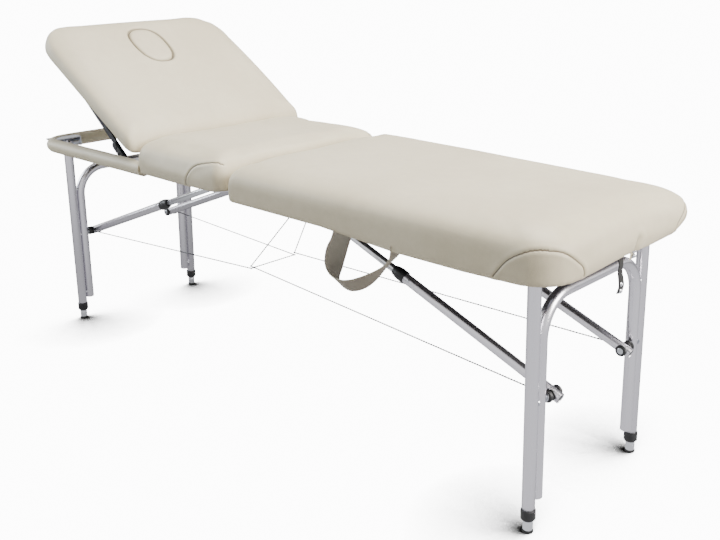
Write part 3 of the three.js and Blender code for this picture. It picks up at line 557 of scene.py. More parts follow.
def relax(co, edges, rounds, keep=None):
    """Laplacian smoothing of vertex positions; keep marks how firmly each vertex holds still."""
    count = len(co)
    degree = np.bincount(edges.ravel(), minlength=count).clip(1)[:, None]
    hold = np.zeros(count) if keep is None else keep
    for _ in range(rounds):
        total = np.zeros_like(co)
        np.add.at(total, edges[:, 0], co[edges[:, 1]])
        np.add.at(total, edges[:, 1], co[edges[:, 0]])
        co = co + (total / degree - co) * 0.5 * (1 - hold)[:, None]
    return co


def mesh_edges(mesh):
    edges = np.zeros(len(mesh.edges) * 2, np.int64)
    mesh.edges.foreach_get("vertices", edges)
    return edges.reshape(-1, 2)


def inflate(obj, firm, cap, voxel, pressure=4.0, frames=20):
    """Voxel remesh, then a cloth simulation that pushes the cover out. firm(co) is each vertex's 0-1 hold."""
    remesh = obj.modifiers.new("remesh", "REMESH")
    remesh.mode = "VOXEL"
    remesh.voxel_size = voxel * MM
    bake(obj)
    mesh = obj.data
    edges = mesh_edges(mesh)
    start = relax(vertex_array(mesh), edges, 3)
    set_vertices(mesh, start)
    hold = firm(start / MM)
    pins = obj.vertex_groups.new(name="pins")
    for i in np.nonzero(hold > 0.02)[0]:
        pins.add([int(i)], float(hold[i]), "REPLACE")
    cloth = obj.modifiers.new("cloth", "CLOTH")
    settings = cloth.settings
    settings.quality = 4
    settings.mass = 0.35
    settings.tension_stiffness = 40
    settings.compression_stiffness = 40
    settings.shear_stiffness = 20
    settings.bending_stiffness = 4
    settings.use_pressure = True
    settings.uniform_pressure_force = pressure
    settings.vertex_group_mass = "pins"
    settings.effector_weights.gravity = 0
    cloth.collision_settings.use_collision = False
    cloth.point_cache.frame_start = 1
    cloth.point_cache.frame_end = frames
    scene = bpy.context.scene
    for f in range(1, frames + 1):
        scene.frame_set(f)
    bake(obj)
    scene.frame_set(1)
    mesh = obj.data
    obj.vertex_groups.clear()
    moved = vertex_array(mesh) - start
    length = np.linalg.norm(moved, axis=1, keepdims=True).clip(1e-9)
    moved = moved / length * (cap * MM) * np.tanh(length / (cap * MM))
    moved = relax(moved, edges, 6)
    set_vertices(mesh, relax(start + moved, edges, 4, hold * 0.8))
    return obj


def path_distance(co, path, closed=False):
    """Distance from each point to a polyline, in the same units."""
    pts = np.array([tuple(p) for p in path], float)
    ends = np.roll(pts, -1, axis=0) if closed else pts[1:]
    starts = pts if closed else pts[:-1]
    best = np.full(len(co), 1e9)
    for a, b in zip(starts, ends):
        d = b - a
        t = np.clip(((co - a) @ d) / max(d @ d, 1e-12), 0, 1)
        best = np.minimum(best, np.linalg.norm(co - (a + t[:, None] * d), axis=1))
    return best


def refine(obj, path, radii, closed=False):
    """Splits the edges near a path, once for each radius."""
    for radius in radii:
        work = bmesh.new()
        work.from_mesh(obj.data)
        work.verts.ensure_lookup_table()
        co = np.array([v.co for v in work.verts]) / MM
        low = np.array([tuple(p) for p in path]).min(0) - radius - 5
        high = np.array([tuple(p) for p in path]).max(0) + radius + 5
        inside = np.all((co > low) & (co < high), axis=1)
        near = np.zeros(len(co), bool)
        near[inside] = path_distance(co[inside], path, closed) < radius
        edges = [e for e in work.edges if near[e.verts[0].index] and near[e.verts[1].index]]
        bmesh.ops.subdivide_edges(work, edges=edges, cuts=1, use_grid_fill=True)
        bmesh.ops.triangulate(work, faces=[f for f in work.faces if len(f.verts) > 4])
        work.to_mesh(obj.data)
        work.free()


def snap(obj, path):
    """Moves each point of a path to the nearest place on the surface."""
    graph = bpy.context.evaluated_depsgraph_get()
    tree = BVHTree.FromObject(obj, graph)
    return [tree.find_nearest(Vector(p) * MM)[0] / MM for p in path]


def press(obj, path, shape, mark_width, mark_strength=1.0, closed=False):
    """Moves the surface near a path by shape(distance) along its normal, and marks the seam for the material to
    colour; where the path is a crease rather than a seam, the mark is painted shade.
    """
    mesh = obj.data
    co = vertex_array(mesh)
    distance = path_distance(co / MM, path, closed)
    set_vertices(mesh, co + normal_array(mesh) * (shape(distance) * MM)[:, None])
    seam = mesh.attributes.get("seam") or mesh.attributes.new("seam", "FLOAT", "POINT")
    old = np.zeros(len(mesh.vertices), np.float32)
    seam.data.foreach_get("value", old)
    new = np.maximum(old, mark_strength * np.exp(-(distance / mark_width) ** 2))
    seam.data.foreach_set("value", new.astype(np.float32))


def groove(depth, width, swell, swell_at, swell_width):
    """A dip along a path, with a low swelling beside it, as a shape for press()."""
    return lambda d: (-depth * np.exp(-(d / width) ** 2)
                      + swell * np.exp(-((d - swell_at) / swell_width) ** 2))


def sew(obj, path):
    """A sewn seam: a narrow groove with the cover swelling softly on both sides."""
    path = snap(obj, path)
    refine(obj, path, (16, 9, 5))
    path = snap(obj, path)
    press(obj, path, groove(1.5, 2.0, 0.9, 7, 5), 1.5)
    return path


VOXEL = 6.5
SHRINK = 4.5          # the cover starts this much inside its final size
CAP = 5.0


def cushion_profiles():
    """[inset, z] of an open side, and of an edge that meets a neighbour, from the skirt up and over."""
    s = SHRINK
    side = [(11, SKIRT_Z), (6.5, SKIRT_Z + 6), (2.6 + s, SKIRT_Z + 17), (0.6 + s, SKIRT_Z + 33),
            (s, SKIRT_Z + 50), (2.6 + s, TOP_Z - 38 - s), (7 + s, TOP_Z - 27 - s), (14 + s, TOP_Z - 18 - s),
            (24 + s, TOP_Z - 11 - s), (40 + s, TOP_Z - 6 - s), (70, TOP_Z - 2.5 - s), (112, TOP_Z - s)]
    fold = [(7, SKIRT_Z), (3.5, SKIRT_Z + 6), (1.2 + s, SKIRT_Z + 17), (s, SKIRT_Z + 36), (s, SKIRT_Z + 58),
            (0.6 + s, TOP_Z - 26 - s), (2.4 + s, TOP_Z - 16 - s), (6 + s, TOP_Z - 9 - s),
            (12 + s, TOP_Z - 4.5 - s), (24 + s, TOP_Z - 1.5 - s), (60, TOP_Z - s), (112, TOP_Z - s)]
    return side, fold


def cut_out(obj, shape):
    """Cuts a shape, given as points and faces, out of a cover."""
    apply_boolean(obj, blank(*shape, "tool"))


def skirt_recess(board_plan, z_low, z_top):
    """The hollow under a cushion that holds its board."""
    return skin([[(x, y, z) for x, y in plan_outline(board_plan, 0, 6, 2)] for z in (z_low, z_top)])


def firm_below(level, spread=16):
    """Holds everything lower than a level, easing off above it."""
    return lambda co: np.clip((level + spread - co[:, 2]) / spread, 0, 1)


def smoothstep(a, b, v):
    t = min(max((v - a) / (b - a), 0), 1)
    return t * t * (3 - 2 * t)


def crown(obj, centre, half, height):
    """Raises the middle of a cushion's top."""
    co = vertex_array(obj.data) / MM
    u = np.clip((co[:, 0] - centre[0]) / half[0], -1, 1)
    v = np.clip((co[:, 1] - centre[1]) / half[1], -1, 1)
    top = np.clip((co[:, 2] - 660) / 24, 0, 1)
    co[:, 2] += height * (1 - u ** 2) * (1 - v ** 2) * top
    set_vertices(obj.data, co * MM)


def settle(obj, skirt, far, lift=0.0):
    """Lets a cover sit as it does on the real table: skirt and far are [x] and [height change] lists for the
    near lower edge and for the far side."""
    co = vertex_array(obj.data) / MM
    co[:, 2] += lift
    low = np.clip((650 - co[:, 2]) / 60, 0, 1) * np.clip(-co[:, 1] / 150, 0, 1)
    side = np.clip(co[:, 1] / HALF_WIDTH, 0, 1)
    co[:, 2] += np.interp(co[:, 0], *skirt) * low + np.interp(co[:, 0], *far) * side
    set_vertices(obj.data, co * MM)


def stretch(obj, x_from, x_to, reach):
    """Pulls one end of a cover along the table by reach millimetres."""
    co = vertex_array(obj.data) / MM
    co[:, 0] += reach * np.clip((co[:, 0] - x_from) / (x_to - x_from), 0, 1) ** 2
    set_vertices(obj.data, co * MM)


def fill_corner(obj):
    """Fills out the far corner of the foot end, and tucks its lower edge under."""
    co = vertex_array(obj.data) / MM
    corner = np.clip((co[:, 0] - 800) / 170, 0, 1) * np.clip((co[:, 1] - 90) / 200, 0, 1)
    tuck = np.clip((634 - co[:, 2]) / 48, 0, 1) ** 2
    co[:, 0] += corner * (11 - 18 * tuck)
    co[:, 1] += corner * (9 - 20 * tuck)
    co[:, 2] += corner * (tuck * 12 - 4)
    set_vertices(obj.data, co * MM)


def round_out(obj, centre_x, toward, radius, amount):
    """Fills both corners of a meeting edge, so the board's corners stay covered."""
    co = vertex_array(obj.data) / MM
    dx = (co[:, 0] - centre_x) * toward
    dy = np.abs(co[:, 1]) - (HALF_WIDTH - radius)
    length = np.hypot(dx, dy) + 1e-9
    corner = np.where((dx > 0) & (dy > 0), 2 * dx * dy / length ** 2, 0) * np.clip(length / radius, 0, 1)
    push = amount * corner * np.clip((TOP_Z - 6 - co[:, 2]) / 30, 0, 1)
    co[:, 0] += push * dx / length * toward
    co[:, 1] += push * dy / length * np.sign(co[:, 1])
    set_vertices(obj.data, co * MM)


# ---- Foot cushion ----------------------------------------------------------------------------------

def fold_weight(x_fold, flat_to=150, gone_at=262, reach=130):
    """1 along the middle of a meeting edge, 0 by its corners."""
    def weight(x, y):
        if abs(x - x_fold) > reach:
            return 0.0
        return 1.0 - smoothstep(flat_to, gone_at, abs(y))
    return weight


def mirrored(path):
    return [(x, -y, z) for x, y, z in path]


FOOT_PLAN = (1, 978, HALF_WIDTH, 46, 92)
FOOT_BOARD = (13.6, 950.4, 297.4, 20.4, 74.4)
points, faces = padded_block(FOOT_PLAN, cushion_profiles(), fold_weight(1))
foot_cover = blank(points, faces, "foot_cushion_cover")
inflate(foot_cover, firm_below(SKIRT_Z + 4, 14), CAP, VOXEL)
crown(foot_cover, (489, 0), (489, HALF_WIDTH), 3)
round_out(foot_cover, 47, -1, 46, 6)
settle(foot_cover, ([0, 350, 580, 760, 978], [2, 1, -12, -12, -5]), ([0, 400, 700, 978], [9, 3, -5, -14]))
fill_corner(foot_cover)

# The end has a small pucker where the cover is tacked under the frame; its crease also gets a faint seam mark,
# which is painted shade.
PUCKER = [(979, 24, 614), (978, 21, 603), (975, 19, 590)]
pucker = snap(foot_cover, PUCKER)
refine(foot_cover, pucker, (30, 18))
press(foot_cover, pucker, groove(5.5, 9, 0.9, 20, 8), 3.0, 0.35)

CORNER_SIDE = [(836, 584), (842, 594), (862, 621), (880, 636), (894, 645), (912, 656), (930, 664)]
CORNER_END = [(-294, 670), (-268, 660), (-238, 641), (-218, 626), (-202, 614), (-195, 600), (-192, 588)]
corner_seam = ([(x, -308, z) for x, z in CORNER_SIDE] + [(950, -302, 669), (966, -300, 671)]
               + [(978, y, z) for y, z in CORNER_END[1:]])
foot_seams = []
for side_name, sign in SIDES:
    seam = smooth_path(corner_seam if sign < 0 else mirrored(corner_seam), 5)
    foot_seams.append(sew(foot_cover, seam))
cut_out(foot_cover, skirt_recess(FOOT_BOARD, SKIRT_Z - 20, BOARD_TOP_Z))
finish(foot_cover, "upholstery", "foot_half", 60, ("foot_cushion",))

# ---- Seat cushion ----------------------------------------------------------------------------------

SEAT_PLAN = (-387, -1, HALF_WIDTH, 36, 46)
SEAT_BOARD = (-372.4, -13.6, 297.4, 4.4, 20.4)


def seat_weight(x, y):
    return max(fold_weight(-1)(x, y), fold_weight(-387, 190, 290)(x, y))


points, faces = padded_block(SEAT_PLAN, cushion_profiles(), seat_weight)
seat_cover = blank(points, faces, "seat_cushion_cover")
inflate(seat_cover, firm_below(SKIRT_Z + 4, 14), CAP, VOXEL)
crown(seat_cover, (-194, 0), (192, HALF_WIDTH), 2)
round_out(seat_cover, -47, 1, 46, 6)
settle(seat_cover, ([-387, -220, -60, -1], [3, 1, 4, 9]), ([-387, -1], [0, -2]), 12)
stretch(seat_cover, -300, -387, -8)
seat_seam = [(-150, -308, 592), (-147, -308, 608), (-139, -308, 630), (-127, -308, 651), (-110, -308, 667),
             (-88, -308, 680)]
seat_seam += [(-62, -305, 690), (-34, -300, 697), (-14, -290, 699), (-2, -278, 694)]
for side_name, sign in SIDES:
    sew(seat_cover, smooth_path(seat_seam if sign < 0 else mirrored(seat_seam), 5))
cut_out(seat_cover, skirt_recess(SEAT_BOARD, SKIRT_Z - 20, BOARD_TOP_Z))
LEG_CHANNEL_HALF = 270
cut_out(seat_cover, block_points(-400, -367, -LEG_CHANNEL_HALF, LEG_CHANNEL_HALF, 570, 629.6))
for side_name, sign in SIDES:
    hole = lathe_parts((-400, sign * RAIL_Y, RAIL_Z), (1, 0, 0), [(0, RAIL_R + 0.6), (34, RAIL_R + 0.6)], 32)
    cut_out(seat_cover, hole)
finish(seat_cover, "upholstery", "head_half", 60, ("seat_cushion",))
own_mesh(seat_cover)

# ---- Backrest and its face plug --------------------------------------------------------------------

TO_TABLE = Matrix.Translation((-BACK_PIVOT_X, 0, BACK_PIVOT_Z)) @ Matrix.Rotation(BACK_ANGLE, 4, "Y")


def place_on_backrest(obj):
    """Turns a piece built flat, with the hinge at 0, into its place."""
    co = vertex_array(obj.data) / MM
    turned = co @ np.array(TO_TABLE.to_3x3()).T + np.array(TO_TABLE.translation)
    set_vertices(obj.data, turned * MM)


def plug_outline(growth, steps=96):
    """The plug's outline: a boxy oval, slightly wider at its head end."""
    half_length, half_width, squareness, taper = 83, 58, 0.8, 0.04
    out = []
    for k in range(steps):
        a = 2 * math.pi * k / steps
        along = math.copysign(abs(math.cos(a)) ** squareness, math.cos(a))
        across = math.copysign(abs(math.sin(a)) ** squareness, math.sin(a))
        out.append((-PLUG_U - (half_length + growth) * along,
                    PLUG_Y - (half_width + growth) * (1 + taper * along) * across))
    return out


BACK_PLAN = (-BACK_FAR_U, -BACK_NEAR_U, BACK_HALF_WIDTH, 115, 28)


def back_weight(x, y):
    return (1.0 - smoothstep(200, 300, abs(y))) if x > -150 else 0.0


def back_profiles():
    """The same two profiles for the backrest, built flat: a plain side and the lower end."""
    s = SHRINK
    t = BACK_LIFT + BACK_T
    side = [(13, BACK_LIFT), (6, BACK_LIFT + 5), (2 + s * 0.5, BACK_LIFT + 11), (s, BACK_LIFT + 20),
            (s, t - 25), (2.4 + s, t - 17 - s * 0.6), (6 + s, t - 11 - s * 0.8), (12 + s, t - 6.5 - s),
            (22 + s, t - 3.4 - s), (40 + s, t - 1.4 - s), (70, t - 0.4 - s), (112, t - s)]
    low = [(13, BACK_LIFT), (6, BACK_LIFT + 5), (2 + s * 0.5, BACK_LIFT + 11), (s, BACK_LIFT + 20),
           (s, t - 20), (0.8 + s, t - 13 - s * 0.6), (3 + s, t - 8 - s * 0.8), (7 + s, t - 4 - s),
           (14 + s, t - 1.8 - s),
           (30 + s, t - 0.6 - s), (70, t - 0.2 - s), (112, t - s)]
    return side, low


def up_the_back(co):
    """0 at the pad's lower end, 1 at its head end."""
    return np.clip((-co[:, 0] - BACK_NEAR_U) / (BACK_FAR_U - BACK_NEAR_U), 0, 1)


def head_end_lift(co):
    """How much fuller the pad grows towards its head end, at each point of the flat panel."""
    across = np.clip((co[:, 1] + BACK_HALF_WIDTH) / (2 * BACK_HALF_WIDTH), 0, 1)
    return (6 + 11 * across) * up_the_back(co) * np.clip((co[:, 2] - BACK_LIFT) / BACK_T, 0, 1)


def fit_backrest(obj):
    """Leans the lower end against the seat, and makes the far side a little wider than the near one."""
    co = vertex_array(obj.data) / MM
    reach = np.clip((co[:, 0] + 130) / 90, 0, 1)
    wanted = np.clip(0.6 * co[:, 2] - 8.6, 0, BACK_NEAR_U)
    co[:, 0] += (BACK_NEAR_U - wanted) * reach * reach * (3 - 2 * reach)
    along = up_the_back(co)
    co[:, 2] += head_end_lift(co)
    away = np.clip((np.abs(co[:, 1]) - 90) / 230, 0, 1)
    bow = 4 * along * (1 - along)
    co[:, 1] += np.where(co[:, 1] < 0, 12, 21 + 12 * bow) * away
    set_vertices(obj.data, co * MM)


points, faces = padded_block(BACK_PLAN, back_profiles(), back_weight)
back_cover = blank(points, faces, "backrest_cushion_cover")
inflate(back_cover, firm_below(BACK_LIFT + 3, 8), CAP, VOXEL)
top_z = BACK_LIFT + BACK_T
fit_backrest(back_cover)
rim = [(x, y, top_z) for x, y in plug_outline(1.2, 64)]
rim = snap(back_cover, rim)
refine(back_cover, rim, (20, 12, 6), closed=True)
press(back_cover, rim, groove(4.2, 3.4, 0.9, 11, 6), 2.6, 1.0, closed=True)
hole_tool = skin([[(x, y, z) for x, y in plug_outline(0.8)] for z in (BACK_LIFT - 20, top_z + 30)])
cut_out(back_cover, hole_tool)
BACK_BOARD = (-559.4, -59.6, 304.4, 89.4, 20.4)
cut_out(back_cover, skirt_recess(BACK_BOARD, BACK_LIFT - 20, BACK_LIFT + 12.8))
place_on_backrest(back_cover)
finish(back_cover, "upholstery", "backrest", 60, ("backrest_cushion",))

plug_rings = []
PLUG_PROFILE = [(26, 2.6), (12, 1.6), (6, 2.0), (2, 4.5), (0.2, 9), (0, 18), (0, 34), (0.2, BACK_T - 10),
                (1.2, BACK_T - 5.5), (3.2, BACK_T - 2.2), (6.5, BACK_T), (11, BACK_T + 1.3), (18, BACK_T + 2.1),
                (28, BACK_T + 2.7), (40, BACK_T + 3.0), (50, BACK_T + 3.1), (56, BACK_T + 3.1)]
for inset, height in PLUG_PROFILE:
    plug_rings.append([(x, y, BACK_LIFT + height) for x, y in plug_outline(-inset)])
plug_cover = blank(*skin(plug_rings), "face_plug_cover")
plug_co = vertex_array(plug_cover.data) / MM
mark_points(plug_cover, "seam", np.exp(-((plug_co[:, 2] - (BACK_LIFT + BACK_T - 5.5)) / 3.6) ** 2) * 0.9)
plug_co[:, 2] += head_end_lift(plug_co)
set_vertices(plug_cover.data, plug_co * MM)
place_on_backrest(plug_cover)
finish(plug_cover, "upholstery", "plug", 60, ("face_plug",))

# ---- Padding on the head rail ----------------------------------------------------------------------

PADDING_R = 21
PADDING_START_X = 370
RAIL_CORNER_R = 70
padding_path = rounded_path([(-PADDING_START_X, -RAIL_Y, RAIL_Z), (-HEAD_RAIL_X, -RAIL_Y, RAIL_Z),
                             (-HEAD_RAIL_X, RAIL_Y, RAIL_Z), (-PADDING_START_X, RAIL_Y, RAIL_Z)],
                            (0, RAIL_CORNER_R, RAIL_CORNER_R, 0), 22)
dense = []
for a, b in zip(padding_path, padding_path[1:]):
    pieces = max(1, round((b - a).length / 7))
    dense += [a.lerp(b, k / pieces) for k in range(pieces)]
dense.append(padding_path[-1])
padding_frames = frames_along(dense, (0, 0, 1))
SLEEVE_SIDES = 44
padding_rings, padding_marks = [], []
travelled = 0.0
for i, (p, (tangent, u, v)) in enumerate(zip(dense, padding_frames)):
    travelled += (p - dense[i - 1]).length if i else 0
    bend = 1.0 if (-HEAD_RAIL_X + 72 > p.x and abs(p.y) > RAIL_Y - 72) else 0.0
    ring = []
    for k in range(SLEEVE_SIDES):
        angle = 2 * math.pi * k / SLEEVE_SIDES
        direction = u * math.cos(angle) + v * math.sin(angle)
        inner = max(0.0, direction.dot(Vector((1, -math.copysign(1, p.y), 0)).normalized()))
        r = PADDING_R + 0.35 * math.sin(travelled / 47) * math.cos(angle * 2 + travelled / 90)
        r += bend * inner ** 2 * 0.9 * math.sin(travelled / 2.6)
        seam_angle = abs((angle - math.radians(200) + math.pi) % (2 * math.pi) - math.pi)
        r -= 1.3 * math.exp(-(seam_angle / 0.07) ** 2)
        padding_marks.append(math.exp(-(seam_angle / 0.06) ** 2))
        ring.append(p + direction * r)
    padding_rings.append(ring)
rail_cover = blank(*skin(padding_rings), "rail_padding_cover")
mark_points(rail_cover, "seam", padding_marks)
for side_name, sign in SIDES:
    for box in ((-401, -374, sign * 259, sign * 285.4, 611.6, 652),
                (-914.4, -870.6, sign * 185.6, sign * 284.4, 598.6, 630.1)):
        x0, x1, ya, yb, z0, z1 = box
        cut_out(rail_cover, block_points(x0, x1, min(ya, yb), max(ya, yb), z0, z1))
finish(rail_cover, "upholstery", "head_half", 50, ("rail_padding",))

# ---- Legs ------------------------------------------------------------------------------------------


def leg_point(end, y, height, out=0.0):
    """A point on a leg's axis, height measured from the floor along the leg, out away from the middle."""
    down = LEG_LENGTH - height
    return Vector((end * (LEG_PIVOT_X + down * math.sin(LEG_RAKE) + out * math.cos(LEG_RAKE)), y,
                   LEG_PIVOT_Z - down * math.cos(LEG_RAKE) + out * math.sin(LEG_RAKE)))


def leg_up(end):
    return Vector((-end * math.sin(LEG_RAKE), 0, math.cos(LEG_RAKE)))


def leg_out(end):
    return Vector((end * math.cos(LEG_RAKE), 0, math.sin(LEG_RAKE)))


RIVET_HEIGHTS = (455, 300, 92)
for prefix, end in ENDS:
    up = leg_up(end)
    body = f"{prefix}_legs"
    bottom, top = 72, LEG_LENGTH - 92
    u_path = rounded_path([leg_point(end, -U_Y, bottom), leg_point(end, -U_Y, top),
                           leg_point(end, U_Y, top), leg_point(end, U_Y, bottom)], (0, 88, 88, 0), 20)
    points, faces = tube_parts(u_path, U_R, 40, 12.2, first_side=(1, 0, 0))
    make(f"{prefix}_u_frame_tube", points, faces, "aluminium_tube", body, 40, (f"{prefix}_u_frame",))
    for side_name, sign in SIDES:
        y = sign * POST_Y
        tag = f"{prefix}_{{}}_{side_name}"
        dome = [(LEG_LENGTH + POST_R * math.sin(a), POST_R * math.cos(a))
                for a in (math.radians(d) for d in (0, 15, 30, 45, 60, 75, 88))]
        foot = leg_point(end, y, 0)
        lathe(tag.format("post") + "_tube", foot, up,
              [(44, 11.6), (36.4, 11.6), (36, 12.2), (36, 14), (36.6, POST_R)] + dome,
              "aluminium_tube", body, 44, 40, (tag.format("post"),))
        lathe(tag.format("collar") + "_ring", foot, up,
              [(31, 11.2), (30.2, 12.2), (30.2, 13.6), (33.5, 16.2), (35, 16.6), (52.5, 16.6), (54.6, 16.1),
               (55, 15.3), (55, 14.5), (53, 14.5)], "black_plastic", body, 40, 30, (tag.format("collar"),))
        extension = f"{prefix}_leg_extension_{side_name}"
        lathe(tag.format("leg_tube") + "_inner", foot, up,
              [(8, 8.5), (5.4, 9.2), (5.2, 10.6), (5.8, 11), (24, 11), (24.4, 10.8), (25, 11), (268, 11),
               (269, 10.4), (269, 9), (250, 9)], "polished_rod", extension, 36, 35, (tag.format("leg_tube"),))
        tip_axis = Vector((0, 0, 1))
        lathe(tag.format("leg_tip") + "_shoe", (foot.x, foot.y, 0), tip_axis,
              [(0.1, 0.1), (0.1, 8), (0.05, 10.6), (0.5, 11.7), (1.4, 12.2), (3.8, 12.3),
               (5.0, 11.9), (5.4, 11.0),
               (5.4, 9)], "rubber", extension, 36, 40, (tag.format("leg_tip"),))
        seam_y = sign * (POST_Y - POST_R - 0.2)
        parts = []
        for face in (1, -1):
            for height in RIVET_HEIGHTS:
                spot = leg_point(end, seam_y, height) + leg_out(end) * (face * 3.4)
                parts.append(lathe_parts(spot, leg_out(end) * face,
                                         [(0, 4.2), (2.2, 4.0), (4.0, 3.2), (5.2, 1.9), (5.7, 0.3)], 16))
        points, faces = merge_parts(parts)
        make(tag.format("post") + "_rivets", points, faces, "polished_rod", body, 60)

# ---- Braces ----------------------------------------------------------------------------------------

for prefix, end in ENDS:
    along = Vector((-end * math.cos(BRACE_SLOPE), 0, math.sin(BRACE_SLOPE)))
    bolt_at = Vector((end * BOLT_X, 0, BOLT_Z))
    over = Vector((end * math.sin(BRACE_SLOPE), 0, math.cos(BRACE_SLOPE)))
    for side_name, sign in SIDES:
        origin = bolt_at + Vector((0, sign * BRACE_Y, 0))
        tag = f"{prefix}_{{}}_{side_name}"
        lathe(tag.format("brace_tube") + "_outer", origin, along,
              [(-8, 10.2), (-19.2, 10.2), (-20, 10.8), (-20, 12.2), (-19.4, 12.75), (454.4, 12.75), (455, 12.2),
               (455, 10.4), (445, 10.4)], "aluminium_tube", f"{prefix}_braces", 40, 40,
              (tag.format("brace_tube"),))
        lathe(tag.format("brace_end_plug"), origin, along,
              [(-6, 9.9), (-18.0, 10.0), (-18.6, 9.4),
               (-18.8, 0.2)], "black_plastic", f"{prefix}_braces", 32, 40)
        lathe(tag.format("brace_collar"), origin, along,
              [(440, 12.9), (440.4, 14.6), (441.6, 15.4), (459, 15.4), (466, 14.4), (474, 12.6), (476.6, 11.8),
               (477.4, 10.6), (477.4, 9.8), (456, 9.8),
               (456, 12.9)], "black_plastic", f"{prefix}_braces", 40, 35)
        rivet_side = (over * 0.45 + Vector((0, -0.9, 0))).normalized()
        lathe(tag.format("brace_rivet"), origin + along * 424 + rivet_side * 12.2, rivet_side,
              [(0, 3.6), (0.9, 3.4), (1.6, 2.2), (1.9, 0.2)], "steel", f"{prefix}_braces", 16, 60)
        lathe(tag.format("brace_rod") + "_inner", origin, along,
              [(410, 0.2), (410, 9.2), (410.4, 9.5), (864.4, 9.5), (865.6, 8.6), (865.7, 0.2)],
              "polished_rod", f"{prefix}_rods", 40, 40, (tag.format("brace_rod"),))
        across = Vector((0, sign, 0))
        body = f"{prefix}_legs"
        lathe(tag.format("brace_bolt") + "_steel", bolt_at, across,
              [(134.0, 0.2), (134.0, 6.4), (134.7, 7.6), (139.0, 8.4), (139.2, 5), (171, 5), (171.4, 8.6),
               (184.6, 8.6), (184.8, 5), (214, 5), (214.2, 8), (217, 7.4), (217.6, 0.2)], "steel", body, 24, 30,
              (tag.format("brace_bolt"),))
        lathe(tag.format("brace_washer_inner"), bolt_at, across,
              [(135.2, 8.6), (135.0, 11.8), (136.4, 13.4), (140.4, 13.6), (142.2, 12.6),
               (143, 5.2), (138, 5.2)],
              "black_plastic", body, 32, 35)
        lathe(tag.format("brace_washer_outer"), bolt_at, across,
              [(163.2, 5.2), (164.0, 12.6), (165.8, 13.6), (167.6, 13.4), (167.7, 5.4)],
              "black_plastic", body, 32, 35)
        lathe(tag.format("brace_spacer"), bolt_at, across,
              [(171.0, 5.4), (171.0, 12.6), (172.2, 13.6), (177.5, 13.6), (179.6, 12.2), (180.0, 8.7)],
              "black_plastic", body, 32, 35)

# ---- Wires -----------------------------------------------------------------------------------------

NODE = (-161, 86, 322)
HOOK = (66, 0, 621)
EYE_Y = 169.25


def rope_parts(a, b, strand=1.2, offset=1.0, pitch=16, per_pitch=8):
    """Two strands twisted round each other."""
    a, b = Vector(a), Vector(b)
    d, u, v = axes_for(b - a)
    steps = max(2, int((b - a).length / pitch * per_pitch))
    parts = []
    for phase in (0, math.pi):
        path = []
        for i in range(steps + 1):
            t = i / steps
            angle = phase + 2 * math.pi * t * (b - a).length / pitch
            path.append(a.lerp(b, t) + (u * math.cos(angle) + v * math.sin(angle)) * offset)
        parts.append(tube_parts(path, strand, 5, first_side=u))
    return parts


def wire_eye(end, sign, toward):
    """A loop of wire round the brace bolt with a crimped sleeve where it closes."""
    centre = Vector((end * BOLT_X, sign * EYE_Y, BOLT_Z))
    out = (Vector(toward) - centre).normalized()
    flat = Vector((out.x, 0, out.z)).normalized()
    loop = [centre + (Vector((math.cos(a), 0, math.sin(a))) * 7.4)
            for a in (2 * math.pi * k / 28 for k in range(29))]
    ring = tube_parts(loop, 1.0, 8, first_side=(0, 1, 0))
    start = centre + flat * 8
    sleeve = lathe_parts(start, out, [(0, 0.9), (0.5, 2.2), (13, 2.2), (13.6, 0.9)], 12)
    return [ring, sleeve], start + out * 10


def wire_set(name, end, middle, body, node):
    parts = []
    near_eye, near_start = wire_eye(end, -1, middle[0])
    far_eye, far_start = wire_eye(end, 1, middle[-1])
    run = [near_start] + [Vector(p) for p in middle] + [far_start]
    for a, b in zip(run, run[1:]):
        parts += rope_parts(a, b)
    for p in middle:
        parts.append(lathe_parts(Vector(p) - Vector((3.2, 0, 0)), (1, 0, 0),
                                 [(0, 0.5), (0.4, 2.0), (3.2, 2.5), (6.0, 2.0), (6.4, 0.5)], 12))
    points, faces = merge_parts(parts + near_eye + far_eye)
    obj = make(name, points, faces, "wire", body, 50, (node,))
    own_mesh(obj)


nx, ny, nz = NODE
wire_set("cable_foot_rope", 1, [(nx, -ny, nz), HOOK, (nx, ny, nz)], "foot_half", "cable_foot")
wire_set("cable_head_rope", -1, [(nx, -ny, nz - 7), (nx, ny, nz - 7)], "head_half",
         "cable_head")
eye_path = [Vector((66 + 5 * math.sin(a), 0, 622 - 5 * math.cos(a))) for a in
            (math.radians(-150 + 20 * k) for k in range(16))]
points, faces = merge_parts([tube_parts(eye_path, 1.3, 10, first_side=(0, 1, 0)),
                             lathe_parts((66, 0, 626), (0, 0, 1), [(0, 1.3), (3.6, 1.3), (3.7, 0.2)], 10)])
make("cable_screw_eye", points, faces, "steel", "foot_half", 50)

# ---- Carry handle ----------------------------------------------------------------------------------

# Each row is one place along the band: the near edge (x, y, z), then the far edge.
HANDLE_EDGES = [
    ((402, -305, 592), (411, -250, 592)), ((394, -305, 572), (406, -250, 566)),
    ((380, -305, 549), (396, -250, 538)), ((372, -304, 524), (387, -251, 511)),
    ((371, -303, 503), (379, -253, 484)), ((380, -302, 487), (372, -256, 460)),
    ((397, -301, 479), (380, -258, 444)), ((421, -300, 478), (408, -260, 437)),
    ((448, -299, 485), (436, -260, 444)), ((473, -297, 496), (461, -260, 457)),
    ((500, -295, 510), (482, -261, 473)), ((523, -292, 524), (505, -264, 495)),
    ((543, -291, 538), (527, -266, 522)), ((558, -294, 553), (544, -263, 543)),
    ((568, -300, 569), (559, -256, 562)), ((573, -304, 592), (567, -252, 592))]


